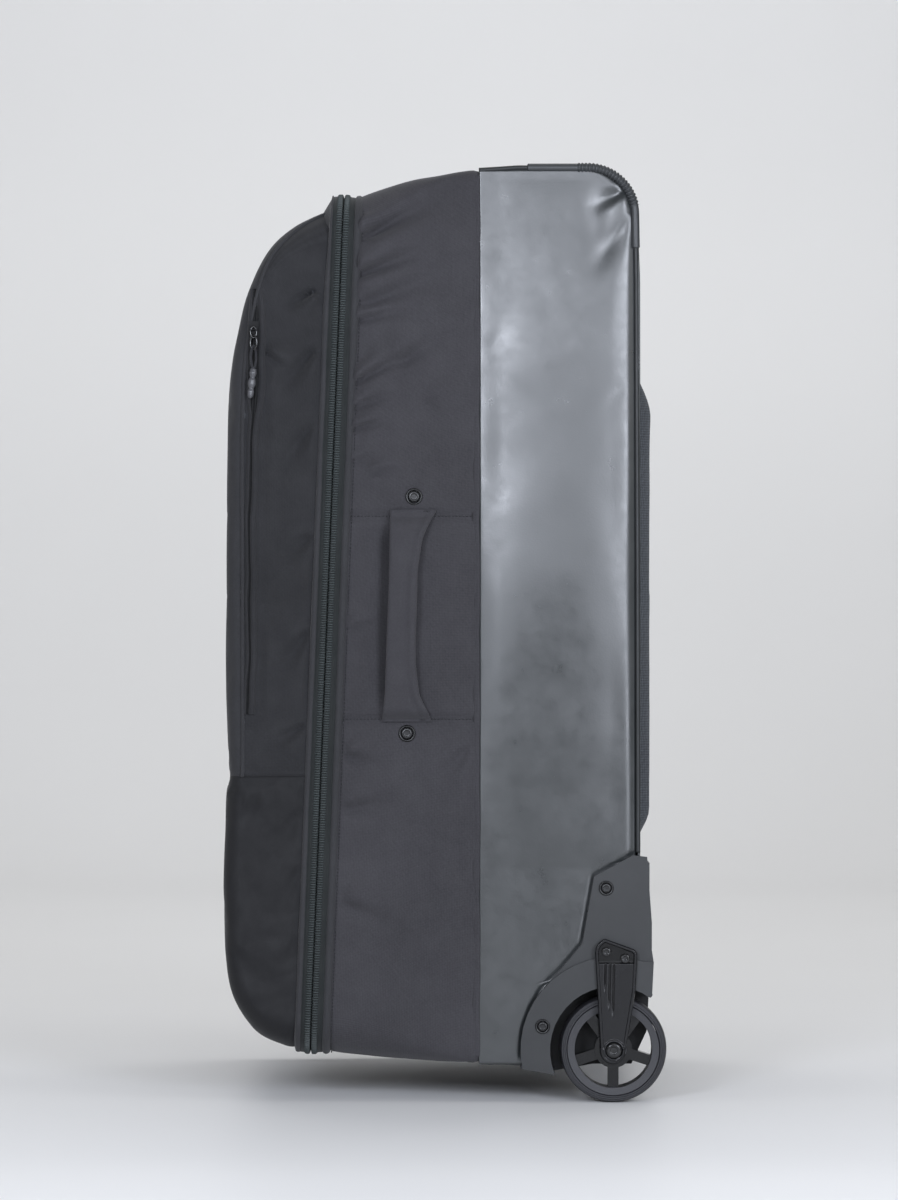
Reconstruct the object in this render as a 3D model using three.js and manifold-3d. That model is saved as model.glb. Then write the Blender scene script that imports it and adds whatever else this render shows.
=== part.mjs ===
// A wheeled travel bag for snowboard and ski gear, about 90 litres: a padded fabric body on a moulded
// rear chassis with two 91 mm wheels, and a front lid that zips round three sides and opens like a book.
// Millimetres. +X is the side with the carry handle, +Y the back, +Z up. The wheels stand on z = 0.
import * as THREE from "three";
import { mergeVertices } from "three/addons/utils/BufferGeometryUtils.js";
import Module from "manifold-3d";

const wasm = await Module();
wasm.setup();

// ---- Driving dimensions ----
const HALF_WIDTH = 190; // the outer faces of the fabric sides
const PANEL = 4; // padded fabric panel
const GAP = 0.3; // between pieces that touch
const INNER = HALF_WIDTH - PANEL - GAP; // half width of what fits between the sides

const BACK_Y = 162; // the outer face of the back panel
const TOP_Z = 795; // the top at the rear, and the frame rod's centre there
const CORNER_R = 40; // the frame rod's bend at the top rear corner
const CORNER = { y: 120, z: TOP_Z - CORNER_R };
const ROD_R = 2;
const ROD_X = HALF_WIDTH - ROD_R;
const ROD_BOTTOM_Z = 213;

const SEAM_LEAN = 0.0392; // the zipped seam's plane leans back by 2.2 degrees
const SEAM = { y: -102.2, z: 406.5 }; // its middle
const SEAM_HALF_HEIGHT = 365.8;
const SEAM_CORNER_R = 30;
const TAPE = { width: 10.5, thick: 1.5 };
const CHAIN = { width: 3, thick: 2 };
const seamY = (z) => SEAM.y + (z - SEAM.z) * SEAM_LEAN;

const TARP_Y = 27; // the seam between the woven side gusset and the coated side panel
const WHEEL = { y: 141.4, z: 45.5, r: 45.5, x: 179, width: 26 };
const RIM_R = 39;
const AXLE_R = 4;
const BEARING = { r: 11, width: 7 };
const SPOKES = 5;
const ARCH_R = 54; // the wheel arch's inside
const FENDER_R = 79; // the raised band round the arch
const HOUSING_X = HALF_WIDTH + GAP; // the housing's inner face on the side panel
const PLATE_X = 193.8;
const FENDER_X = 197;
const BRACKET_X = FENDER_X + GAP;
const BRACKET_THICK = 3.4;
const WELL_X = 156.3; // the wheel well's inner wall
const WALL = 3;

const HINGE = { x: HALF_WIDTH + 1.5, halfWidth: 9, halfHeight: 338 }; // the lid's fabric hinge, at -X
const BACK_PAD = { y: 179.5, halfWidth: 130, low: 204, high: 638 };
const FRONT_Y = -188.2; // the lid's front, past its own line
const SPLIT_X = 158; // where the side panels wrap round and meet the panels between them

// ---- Materials ----
const paint = (color, roughness, metalness = 0) =>
  new THREE.MeshStandardMaterial({ color, roughness, metalness });
const MATERIALS = {
  woven: paint(0x39393d, 0.85),
  nylon: paint(0x2c2c30, 0.6),
  tarp: paint(0x55595e, 0.42),
  foam: paint(0x4c5054, 0.8),
  lining: paint(0x4a4d50, 0.8),
  zip: paint(0x33383a, 0.8),
  webbing: paint(0x202022, 0.85),
  plastic: paint(0x34373a, 0.55),
  board: paint(0x2a2a2a, 0.6),
  glossPlastic: paint(0x141416, 0.25),
  rubber: paint(0x2c2c2e, 0.75),
  metal: paint(0x1d1d1f, 0.35, 0.8),
  steel: paint(0xa8abad, 0.35, 0.9),
};

// ---- Helpers ----
const X_AXIS = new THREE.Vector3(1, 0, 0);
const Y_AXIS = new THREE.Vector3(0, 1, 0);
const Z_AXIS = new THREE.Vector3(0, 0, 1);
const point = (a, b) => new THREE.Vector2(a, b);
const polygon = (pairs) => new THREE.Shape(pairs.map(([a, b]) => point(a, b)));

const SIDES = [
  ["right", 1],
  ["left", -1],
];
const bag = new THREE.Group();
const seamGroup = new THREE.Group(); // local Z runs up the seam's plane, local Y is its normal
seamGroup.position.set(0, SEAM.y, SEAM.z);
seamGroup.rotation.x = -Math.atan(SEAM_LEAN);
bag.add(seamGroup);

function add(name, geometry, material, parent = bag) {
  const mesh = new THREE.Mesh(geometry, material);
  mesh.name = name;
  parent.add(mesh);
  return mesh;
}

// A (y, z) outline pushed along X, from x0 to x1, or its mirror image on the -X side.
function acrossWidth(shape, x0, x1, side = 1, curveSegments = 10) {
  const from = side > 0 ? x0 : -x1;
  const options = { depth: x1 - x0, bevelEnabled: false, curveSegments };
  const geometry = new THREE.ExtrudeGeometry(shape, options);
  geometry.applyMatrix4(new THREE.Matrix4().makeBasis(Y_AXIS, Z_AXIS, X_AXIS));
  return geometry.translate(from, 0, 0);
}

// An (x, z) outline pushed along Y, from y0 to y1.
function throughDepth(shape, y0, y1, curveSegments = 8) {
  const options = { depth: y1 - y0, bevelEnabled: false, curveSegments };
  const geometry = new THREE.ExtrudeGeometry(shape, options);
  geometry.applyMatrix4(new THREE.Matrix4().makeBasis(X_AXIS, Z_AXIS, Y_AXIS.clone().negate()));
  return geometry.translate(0, y1, 0);
}

// A block between two corners.
function block([x0, y0, z0], [x1, y1, z1]) {
  const geometry = new THREE.BoxGeometry(x1 - x0, y1 - y0, z1 - z0);
  return geometry.translate((x0 + x1) / 2, (y0 + y1) / 2, (z0 + z1) / 2);
}

// A piece turned on an axis along X through (y, z). Its profile's pairs are a radius and a distance
// from the bag's middle.
function turned(profile, y, z, side = 1, segments = 24) {
  const geometry = new THREE.LatheGeometry(profile.map(([r, x]) => point(r, x)), segments);
  geometry.rotateZ(-Math.PI / 2);
  if (side < 0) geometry.rotateZ(Math.PI);
  return geometry.translate(0, y, z);
}

function toSolid(geometry) {
  const bare = geometry.clone();
  bare.deleteAttribute("normal");
  bare.deleteAttribute("uv");
  const merged = mergeVertices(bare, 1e-3);
  const vertProperties = merged.attributes.position.array;
  const triVerts = new Uint32Array(merged.index.array);
  return new wasm.Manifold(new wasm.Mesh({ numProp: 3, vertProperties, triVerts }));
}

function toGeometry(solid) {
  const mesh = solid.getMesh();
  const geometry = new THREE.BufferGeometry();
  geometry.setAttribute("position", new THREE.BufferAttribute(mesh.vertProperties, 3));
  geometry.setIndex(new THREE.BufferAttribute(mesh.triVerts, 1));
  geometry.computeVertexNormals();
  return geometry;
}

const joined = (...pieces) =>
  toGeometry(pieces.map(toSolid).reduce((whole, piece) => whole.add(piece)));
const cut = (piece, ...tools) =>
  toGeometry(tools.map(toSolid).reduce((whole, tool) => whole.subtract(tool), toSolid(piece)));
const common = (...pieces) =>
  toGeometry(pieces.map(toSolid).reduce((whole, piece) => whole.intersect(piece)));

// A solid along Y through rounded rectangles, each with its depth y at a height z.
function loft(stations, inward = 0, steps = 5) {
  const ring = ({ y, low, high, r }) => {
    const shape = roundedRect(HALF_WIDTH - inward, low + inward, high - inward, r - inward);
    return shape.getPoints(steps).map((p) => [p.x, y(p.y), p.y]);
  };
  const rings = stations.map(ring);
  const count = rings[0].length;
  const index = [];
  for (let i = 1; i < rings.length; i += 1) {
    for (let j = 0; j < count; j += 1) {
      const [a, b] = [(i - 1) * count + j, (i - 1) * count + ((j + 1) % count)];
      index.push(a, a + count, b + count, a, b + count, b);
    }
  }
  const last = (rings.length - 1) * count;
  for (let j = 1; j < count - 1; j += 1) {
    index.push(0, j, j + 1, last, last + j + 1, last + j);
  }
  const geometry = new THREE.BufferGeometry();
  geometry.setAttribute("position", new THREE.Float32BufferAttribute(rings.flat(2), 3));
  geometry.setIndex(index);
  return geometry;
}

// The points of a (y, z) line moved to its left, which is the bag's inside on a line that runs
// down the front, back along the bottom, up the back and forward along the top.
function inset(line, distance) {
  return line.map((p, i) => {
    const before = line[Math.max(i - 1, 0)];
    const after = line[Math.min(i + 1, line.length - 1)];
    const along = after.clone().sub(before).normalize();
    return point(p.x - along.y * distance, p.y + along.x * distance);
  });
}

// The cross-section of a sheet whose outer face lies `start` inside a line.
function sheet(line, thick = PANEL, start = 0) {
  return new THREE.Shape([...inset(line, start), ...inset(line, start + thick).reverse()]);
}

const curveThrough = (pairs, steps) =>
  new THREE.SplineCurve(pairs.map(([y, z]) => point(y, z))).getPoints(steps);

function arcPoints(y, z, r, from, to, steps) {
  return Array.from({ length: steps + 1 }, (_, i) => {
    const a = THREE.MathUtils.degToRad(from + ((to - from) * i) / steps);
    return point(y + r * Math.cos(a), z + r * Math.sin(a));
  });
}

function roundedRect(halfWidth, low, high, r) {
  const shape = new THREE.Shape();
  shape.absarc(halfWidth - r, low + r, r, -Math.PI / 2, 0);
  shape.absarc(halfWidth - r, high - r, r, 0, Math.PI / 2);
  shape.absarc(-halfWidth + r, high - r, r, Math.PI / 2, Math.PI);
  shape.absarc(-halfWidth + r, low + r, r, Math.PI, (3 * Math.PI) / 2);
  return shape;
}

// ---- The bag's side profile, as (y, z) lines in the order that `inset` needs ----
const LID_LINE = curveThrough(
  [
    [-89.5, 766],
    [-128, 747],
    [-157, 717],
    [-177, 660],
    [-185, 590],
    [-185.5, 430],
    [-185.5, 290],
    [-188, 200],
    [-185, 108],
    [-166, 63],
    [-138, 46.5],
    [-117.5, 43.5],
  ],
  34,
);
const SEAM_LOW = 43.6;
const SEAM_HIGH = 767;
const FLOOR_REAR = 31.5; // the fabric floor at its rear edge
const FLOOR_END_Y = 62;
const WELL_FLOOR = { low: 28.6, high: 31.3, end: 88.6 }; // the housing's floor in front of its arch
const TOP_REAR = [
  point(BACK_Y - ROD_R, CORNER.z - 10),
  ...arcPoints(CORNER.y, CORNER.z, CORNER_R, 0, 90, 8),
  point(60, TOP_Z),
  point(TARP_Y, TOP_Z - 2.2),
];

// ---- Body ----
const FAR = 1000; // past the bag on every side

// All that lies between the planes that are given.
function slice({ x0 = -FAR, x1 = FAR, y0 = -FAR, y1 = FAR, z0 = -FAR, z1 = FAR }) {
  return block([x0, y0, z0], [x1, y1, z1]);
}

// The fabric between the seam and the rear: round-cornered at the seam, square where it meets the rear.
function wovenBody() {
  const behindSeam = (distance) => (z) => seamY(z) + distance;
  const stations = [
    { y: behindSeam(0.5), low: SEAM_LOW, high: SEAM_HIGH, r: SEAM_CORNER_R },
    { y: behindSeam(15), low: SEAM_LOW - 1, high: SEAM_HIGH + 3.6, r: SEAM_CORNER_R },
    { y: () => TARP_Y - 1, low: 33.8, high: 792.5, r: 6 },
    { y: () => FLOOR_END_Y, low: FLOOR_REAR, high: TOP_Z, r: 6 },
  ];
  const through = [
    { ...stations[0], y: behindSeam(-10) },
    ...stations.slice(0, 3),
    { ...stations[3], y: () => FLOOR_END_Y + 10 },
  ];
  const shell = cut(loft(stations), loft(through, PANEL));
  const front = { y1: TARP_Y - 1 };
  const upper = { z0: SEAM.z };
  const lower = { z1: SEAM.z };
  const part = (...regions) => common(shell, joined(...regions.map(slice)));
  add("gusset_right", part({ ...front, x0: SPLIT_X }), MATERIALS.woven);
  add("gusset_left", part({ ...front, x1: -SPLIT_X }), MATERIALS.woven);
  const between = { x0: -SPLIT_X + GAP, x1: SPLIT_X - GAP };
  add("top_panel_front", part({ ...front, ...between, ...upper }), MATERIALS.woven);
  const floorRear = { x0: -INNER, x1: INNER, y0: TARP_Y - 1 + GAP };
  add("bottom_panel", part({ ...between, ...lower }, { ...floorRear, ...lower }), MATERIALS.woven);
}

function sidePanels(side, name) {
  const edge = ROD_R + GAP; // the panel stops at the rod in its edge
  const wellR = ARCH_R + WALL + 1;
  const tarp = new THREE.Shape([
    point(TARP_Y, 33.7),
    point(WHEEL.y - Math.sqrt(wellR ** 2 - (WHEEL.z - 31.8) ** 2), 31.8),
    ...arcPoints(WHEEL.y, WHEEL.z, wellR, 188, 73, 12),
    point(BACK_Y - edge - 1, 106),
    ...arcPoints(CORNER.y, CORNER.z, CORNER_R - edge, 0, 90, 8),
    point(60, TOP_Z - edge),
    point(TARP_Y, TOP_Z - 2.2 - edge),
  ]);
  const panel = acrossWidth(tarp, INNER + GAP, HALF_WIDTH, side);
  add("tarp_side_" + name, cut(panel, guardGroove(side)), MATERIALS.tarp);
}

function topBottomAndBack() {
  const rear = acrossWidth(sheet(TOP_REAR), -INNER, INNER);
  add("top_panel_rear", cut(rear, guardGroove(1), guardGroove(-1)), MATERIALS.tarp);
  const board = [point(-95, 42.2), point(TARP_Y - 1, 33.8), point(55, 32.1)];
  add("base_board", acrossWidth(sheet(board, 2.5, PANEL + 2 * GAP), -150, 150), MATERIALS.board);

  // The back panel and its stiffener, narrowed below where the wheel wells stand.
  const narrow = WELL_X - 3;
  const wellTop = 108;
  const outline = (half, low, high) =>
    polygon([
      [-narrow, low],
      [narrow, low],
      [narrow, wellTop],
      [half, wellTop],
      [half, high],
      [-half, high],
      [-half, wellTop],
      [-narrow, wellTop],
    ]);
  const top = CORNER.z - 10.5;
  const panel = throughDepth(outline(INNER, 54, top), BACK_Y - PANEL, BACK_Y);
  add("back_panel", cut(panel, guardGroove(1), guardGroove(-1)), MATERIALS.tarp);
  const plateY = BACK_Y - PANEL - GAP;
  const stiffener = throughDepth(outline(INNER - 4, 58, top - 6), plateY - 1.5, plateY);
  add("back_plate", stiffener, MATERIALS.board);
}

function backPad() {
  const { y, halfWidth, low, high } = BACK_PAD;
  const inner = BACK_Y + ROD_R;
  const profile = new THREE.Shape();
  profile.moveTo(inner, low);
  profile.quadraticCurveTo(y, low + 10, y, low + 44);
  profile.lineTo(y, high - 78);
  profile.quadraticCurveTo(y - 1, high - 20, inner, high);
  add("back_pad", acrossWidth(profile, -halfWidth, halfWidth, 1, 6), MATERIALS.foam);
}

// The rod sewn into each side panel's edge, and the moulded guard that sleeves its bend.
const GUARD_R = 4.1;
const rodPoint = (side) => (y, z) => new THREE.Vector3(side * ROD_X, y, z);
const rodBend = (side) =>
  arcPoints(CORNER.y, CORNER.z, CORNER_R, 90, 0, 10).map((p) => rodPoint(side)(p.x, p.y));

function alongPath(points, outer, hole, steps) {
  const shape = new THREE.Shape().absarc(0, 0, outer, 0, 2 * Math.PI);
  if (hole) shape.holes.push(new THREE.Path().absarc(0, 0, hole, 0, 2 * Math.PI, true));
  const extrudePath = new THREE.CatmullRomCurve3(points, false, "catmullrom", 0.5);
  return new THREE.ExtrudeGeometry(shape, { extrudePath, steps, curveSegments: 5 });
}

function guardTube(side, outer, hole, extra) {
  const at = rodPoint(side);
  const start = at(69 - extra, TOP_Z);
  const end = at(BACK_Y - 1.6, 727 - extra);
  return alongPath([start, at(90, TOP_Z), ...rodBend(side), end], outer, hole, 20);
}

const guardGroove = (side) => guardTube(side, GUARD_R + 0.4, 0, 1);

function edgeFrame(side, name) {
  const at = rodPoint(side);
  const path = [
    at(TARP_Y + 1, TOP_Z - 2.2),
    at(60, TOP_Z),
    at(90, TOP_Z),
    ...rodBend(side),
    at(BACK_Y - 1, 700),
    at(BACK_Y, 450),
    at(BACK_Y + 0.5, ROD_BOTTOM_Z),
  ];
  add("frame_rod_" + name, alongPath(path, ROD_R - 0.3, 0, 44), MATERIALS.plastic);
  add("corner_guard_" + name, guardTube(side, GUARD_R, ROD_R + 0.6, 0), MATERIALS.rubber);
}

function carryHandle() {
  // A padded webbing loop, sewn down at both ends, that bows out from the side.
  const low = 326;
  const high = 504;
  const middle = (low + high) / 2;
  const foot = HALF_WIDTH + GAP;
  const bowed = HALF_WIDTH + 15;
  const thick = 4.5;
  const shape = new THREE.Shape();
  shape.moveTo(foot, low);
  shape.bezierCurveTo(foot + 7, low + 2, bowed, low + 24, bowed, middle);
  shape.bezierCurveTo(bowed, high - 24, foot + 7, high - 2, foot, high);
  shape.lineTo(foot, high - 9);
  shape.bezierCurveTo(foot + 3, high - 12, bowed - thick, high - 40, bowed - thick, middle);
  shape.bezierCurveTo(bowed - thick, low + 40, foot + 3, low + 12, foot, low + 9);
  add("carry_handle", throughDepth(shape, -49, -22, 7), MATERIALS.woven);

  const rivet = [
    [0, foot],
    [8.4, foot],
    [8.4, foot + 1],
    [6.6, foot + 1.9],
    [4.8, foot + 1.2],
    [4, foot + 2.6],
    [0, foot + 3],
  ];
  const places = { upper: [-28, 515], lower: [-34, 314] };
  for (const [where, [y, z]] of Object.entries(places)) {
    add("handle_rivet_" + where, turned(rivet, y, z, 1, 16), MATERIALS.metal);
  }
}

// ---- The zipped seam: a tape and half a chain on each side of its plane ----
function zipHalf(name, sign) {
  // A band round the bottom, the carry side and the top, `out` outside the fabric.
  const band = (out, thick) => {
    const half = HALF_WIDTH + out;
    const high = SEAM_HALF_HEIGHT - TAPE.thick + out - GAP;
    const end = -HALF_WIDTH + 50; // where the zip stops, short of the hinge
    const r = SEAM_CORNER_R;
    const shape = new THREE.Shape();
    shape.moveTo(end, -high - thick);
    shape.absarc(half - r, -high + r, r + thick, -Math.PI / 2, 0);
    shape.absarc(half - r, high - r, r + thick, 0, Math.PI / 2);
    shape.lineTo(end, high + thick);
    shape.lineTo(end, high);
    shape.absarc(half - r, high - r, r, Math.PI / 2, 0, true);
    shape.absarc(half - r, -high + r, r, 0, -Math.PI / 2, true);
    shape.lineTo(end, -high);
    return shape;
  };
  const slab = (shape, near, far) => {
    const [y0, y1] = sign > 0 ? [near, far] : [-far, -near];
    return throughDepth(shape, y0, y1, 6);
  };
  const tape = slab(band(GAP, TAPE.thick), 0.6, TAPE.width);
  const chain = slab(band(TAPE.thick + 2 * GAP, CHAIN.thick), 0.2, CHAIN.width);
  add("zip_tape_" + name, tape, MATERIALS.zip, seamGroup);
  add("zip_chain_" + name, chain, MATERIALS.glossPlastic, seamGroup);
}

// A slider's shoe with two posts and a pin across them, and the tab that turns on the pin. The shoe
// runs along local X, the pin lies along Y, and the tab points along +X when it lies flat.
const SLIDER = { length: 14, width: 9, shoe: 2.2, pinHeight: 5, pinR: 0.9, eyeR: 2.2, tab: 26 };

function sliderShoe() {
  const { length, width, shoe, pinHeight, pinR } = SLIDER;
  const base = block([-length / 2, -width / 2, 0], [length / 2, width / 2, shoe]);
  const post = (y) => block([-1.6, y - 0.6, shoe - 1], [1.6, y + 0.6, pinHeight + 1.5]);
  const pin = new THREE.CylinderGeometry(pinR, pinR, 6, 12).translate(0, 0, pinHeight);
  return joined(base, post(2.8), post(-2.8), pin);
}

function sliderTab(length, halfWidth) {
  const { pinHeight, pinR, eyeR } = SLIDER;
  const side = new THREE.Shape();
  side.moveTo(length, -0.9);
  side.lineTo(length, 0.9);
  side.absarc(0, 0, eyeR, 0.42, 2 * Math.PI - 0.42);
  side.holes.push(new THREE.Path().absarc(0, 0, pinR + GAP, 0, 2 * Math.PI));
  const eye = new THREE.ExtrudeGeometry(side, { depth: 3.6, bevelEnabled: false, curveSegments: 8 });
  eye.translate(0, 0, -1.8).rotateX(Math.PI / 2);
  const plate = block([eyeR + 2.6, -halfWidth, -0.9], [length, halfWidth, 0.9]);
  return joined(eye, plate).translate(0, 0, pinHeight);
}

// The two sliders that meet at the top, each with a tab lying along the zip.
function mainSlider(side, name) {
  const place = (geometry) => {
    if (side < 0) geometry.rotateZ(Math.PI);
    return geometry.translate(side * 10, 0, SEAM_HALF_HEIGHT + CHAIN.thick + 3 * GAP);
  };
  add("main_slider_" + name, place(sliderShoe()), MATERIALS.metal, seamGroup);
  add("main_puller_" + name, place(sliderTab(SLIDER.tab, 4.2)), MATERIALS.metal, seamGroup);
}

// The strip of cloth, sewn to both sides of the seam, that the lid turns on.
function lidHinge() {
  const { x, halfWidth, halfHeight } = HINGE;
  const strip = block([-x, -halfWidth, -halfHeight], [-HALF_WIDTH - GAP, halfWidth, halfHeight]);
  add("lid_hinge_strip", strip, MATERIALS.webbing, seamGroup);
}

// ---- Lid ----
const POCKET = { top: [-163.5, 690], bottom: [-170, 332], width: 7 }; // the slot that the pocket zip closes
const LID_FRONT_R = 14;
const LID_SPLIT_Z = 278; // smooth nylon below, woven fabric above

// What the lid fills between its front and the seam, shrunk by `inward` all round but the seam.
function lidVolume(inward) {
  const past = inward > 0 ? 20 : -0.5;
  const low = LID_LINE.at(-1).y + inward;
  const high = LID_LINE[0].y - inward;
  const outline = new THREE.Shape([
    ...(inward > 0 ? inset(LID_LINE, inward) : LID_LINE),
    point(seamY(SEAM_LOW) + past, low),
    point(seamY(SEAM_HIGH) + past, high),
  ]);
  const half = HALF_WIDTH - inward;
  const across = acrossWidth(outline, -half, half);
  const round = roundedRect(half, low, high, SEAM_CORNER_R - inward);
  const fromFront = throughDepth(round, -250, 0, 5);
  const plan = roundedRect(half, FRONT_Y + inward, 0, LID_FRONT_R - inward);
  const fromAbove = new THREE.ExtrudeGeometry(plan, { depth: 900, bevelEnabled: false, curveSegments: 5 });
  return common(across, fromFront, fromAbove);
}

function lid() {
  const shell = cut(lidVolume(0), lidVolume(PANEL));
  const [topY, topZ] = POCKET.top;
  const [bottomY, bottomZ] = POCKET.bottom;
  const half = POCKET.width / 2;
  const slot = polygon([
    [topY + half, topZ],
    [topY - half, topZ],
    [bottomY - half, bottomZ],
    [bottomY + half, bottomZ],
  ]);
  const upper = { z0: LID_SPLIT_Z };
  const side = common(shell, slice({ ...upper, x0: SPLIT_X }));
  add("lid_side_right", cut(side, acrossWidth(slot, SPLIT_X, HALF_WIDTH + 30)), MATERIALS.woven);
  add("lid_side_left", common(shell, slice({ ...upper, x1: -SPLIT_X })), MATERIALS.woven);
  const front = slice({ ...upper, x0: -SPLIT_X + GAP, x1: SPLIT_X - GAP });
  add("lid_front_panel", common(shell, front), MATERIALS.woven);
  add("lid_lower_panel", common(shell, slice({ z1: LID_SPLIT_Z - GAP })), MATERIALS.nylon);
  const reach = INNER - GAP;
  add("lid_divider", block([-reach, -154, 78], [reach, -151, 706]), MATERIALS.lining);
}

// The pocket's slider on the lid's side, with its cord pull hanging down.
function pocketSlider() {
  const place = (geometry) => geometry.rotateY(Math.PI / 2).translate(HALF_WIDTH + GAP, -164.2, 657);
  add("pocket_slider", place(sliderShoe()), MATERIALS.metal);
  add("pocket_pull", place(sliderTab(62, 2.8)), MATERIALS.rubber);
}

// ---- Wheels and chassis ----
function housing(side, name) {
  const edge = arcPoints(WHEEL.y, WHEEL.z, FENDER_R, 139, 192, 6);
  const arch = arcPoints(WHEEL.y, WHEEL.z, ARCH_R, 203, 55, 16);
  const foot = point(92, 24.2);
  const rear = [point(174, 91), point(175.5, 120)];
  const plate = new THREE.Shape([
    point(158, 210.5),
    point(125, 192.5),
    point(115, 135.5),
    point(97, 114),
    ...edge,
    foot,
    ...arch,
    ...rear,
    point(174, 130),
    point(174, 153),
    point(170, 209),
  ]);
  const band = arcPoints(WHEEL.y, WHEEL.z, FENDER_R, 192, 72, 14);
  const fender = new THREE.Shape([foot, ...band, rear[1], rear[0], ...arch.reverse()]);
  const roof = new THREE.Shape([
    ...arcPoints(WHEEL.y, WHEEL.z, ARCH_R, 203, 55, 16),
    ...arcPoints(WHEEL.y, WHEEL.z, ARCH_R + WALL, 54, 203, 16),
  ]);
  const inside = new THREE.Shape([
    ...arcPoints(WHEEL.y, WHEEL.z, ARCH_R + 1, 55, 203, 16),
    point(125, 30),
    point(158, 30),
    point(171, 58),
  ]);
  const flange = block([WELL_X, 168.5, 96], [PLATE_X, 172, 204]);
  if (side < 0) flange.translate(-WELL_X - PLATE_X, 0, 0);
  const { low, high, end } = WELL_FLOOR;
  const floor = new THREE.Shape([
    point(FLOOR_END_Y + GAP, low),
    point(end, low),
    point(end, high),
    point(FLOOR_END_Y + GAP, high),
  ]);
  const bore = [
    [0, WELL_X - 5],
    [AXLE_R + GAP, WELL_X - 5],
    [AXLE_R + GAP, WELL_X + 9],
    [0, WELL_X + 9],
  ];
  const whole = joined(
    acrossWidth(plate, HOUSING_X, PLATE_X, side),
    acrossWidth(fender, HOUSING_X, FENDER_X, side),
    acrossWidth(roof, WELL_X, HOUSING_X + 1, side),
    acrossWidth(inside, WELL_X, WELL_X + WALL, side),
    acrossWidth(floor, WELL_X, HALF_WIDTH - GAP, side),
    flange,
  );
  const bored = cut(whole, turned(bore, WHEEL.y, WHEEL.z, side));
  add("wheel_housing_" + name, bored, MATERIALS.plastic);

  const rivet = (x) => [
    [0, x + GAP],
    [6, x + GAP],
    [5.4, x + 1.6],
    [3.6, x + 1.6],
    [3.4, x + 2.4],
    [0, x + 2.6],
  ];
  const upper = turned(rivet(PLATE_X), 135.2, 182.6, side, 14);
  const lower = turned(rivet(FENDER_X), 81.1, 65.5, side, 14);
  add("housing_rivet_upper_" + name, upper, MATERIALS.glossPlastic);
  add("housing_rivet_lower_" + name, lower, MATERIALS.glossPlastic);
}

function bracket(side, name) {
  const arm = (grow) =>
    new THREE.Shape([
      point(132.3 - grow * 0.7, 140.6 + grow),
      point(126.5 - grow, 132.5 + grow * 0.3),
      point(129 - grow, 46),
      ...arcPoints(WHEEL.y, WHEEL.z, 12.6 + grow, 182, 358, 8),
      point(161.6 + grow, 128.5),
      point(158.4 + grow, 133.2 + grow),
    ]);
  const rim = arm(0);
  rim.holes.push(new THREE.Path(arm(-2.4).getPoints()));
  const plate = acrossWidth(arm(0), BRACKET_X, BRACKET_X + BRACKET_THICK, side);
  const lip = acrossWidth(rim, BRACKET_X + 1, BRACKET_X + BRACKET_THICK + 1.4, side);
  const hole = [
    [0, BRACKET_X - 3],
    [AXLE_R + GAP, BRACKET_X - 3],
    [AXLE_R + GAP, BRACKET_X + 9],
    [0, BRACKET_X + 9],
  ];
  const arched = cut(joined(plate, lip), turned(hole, WHEEL.y, WHEEL.z, side, 16));
  add("wheel_bracket_" + name, arched, MATERIALS.plastic);

  const face = BRACKET_X + BRACKET_THICK + GAP;
  const head = [
    [0, face],
    [4, face],
    [4, face + 1.6],
    [1.6, face + 1.9],
    [1.4, face + 0.8],
    [0, face + 0.8],
  ];
  add("bracket_screw_front_" + name, turned(head, 135.2, 129, side, 14), MATERIALS.metal);
  add("bracket_screw_rear_" + name, turned(head, 151, 123.4, side, 14), MATERIALS.metal);
  const bolt = [
    [0, WELL_X - 2],
    [AXLE_R, WELL_X - 2],
    [AXLE_R, face],
    [6.6, face],
    [6.6, face + 1.8],
    [5.4, face + 2.6],
    [2.4, face + 2.6],
    [2.2, face + 1],
    [0, face + 1],
  ];
  add("axle_bolt_" + name, turned(bolt, WHEEL.y, WHEEL.z, side, 20), MATERIALS.metal);
}

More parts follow.
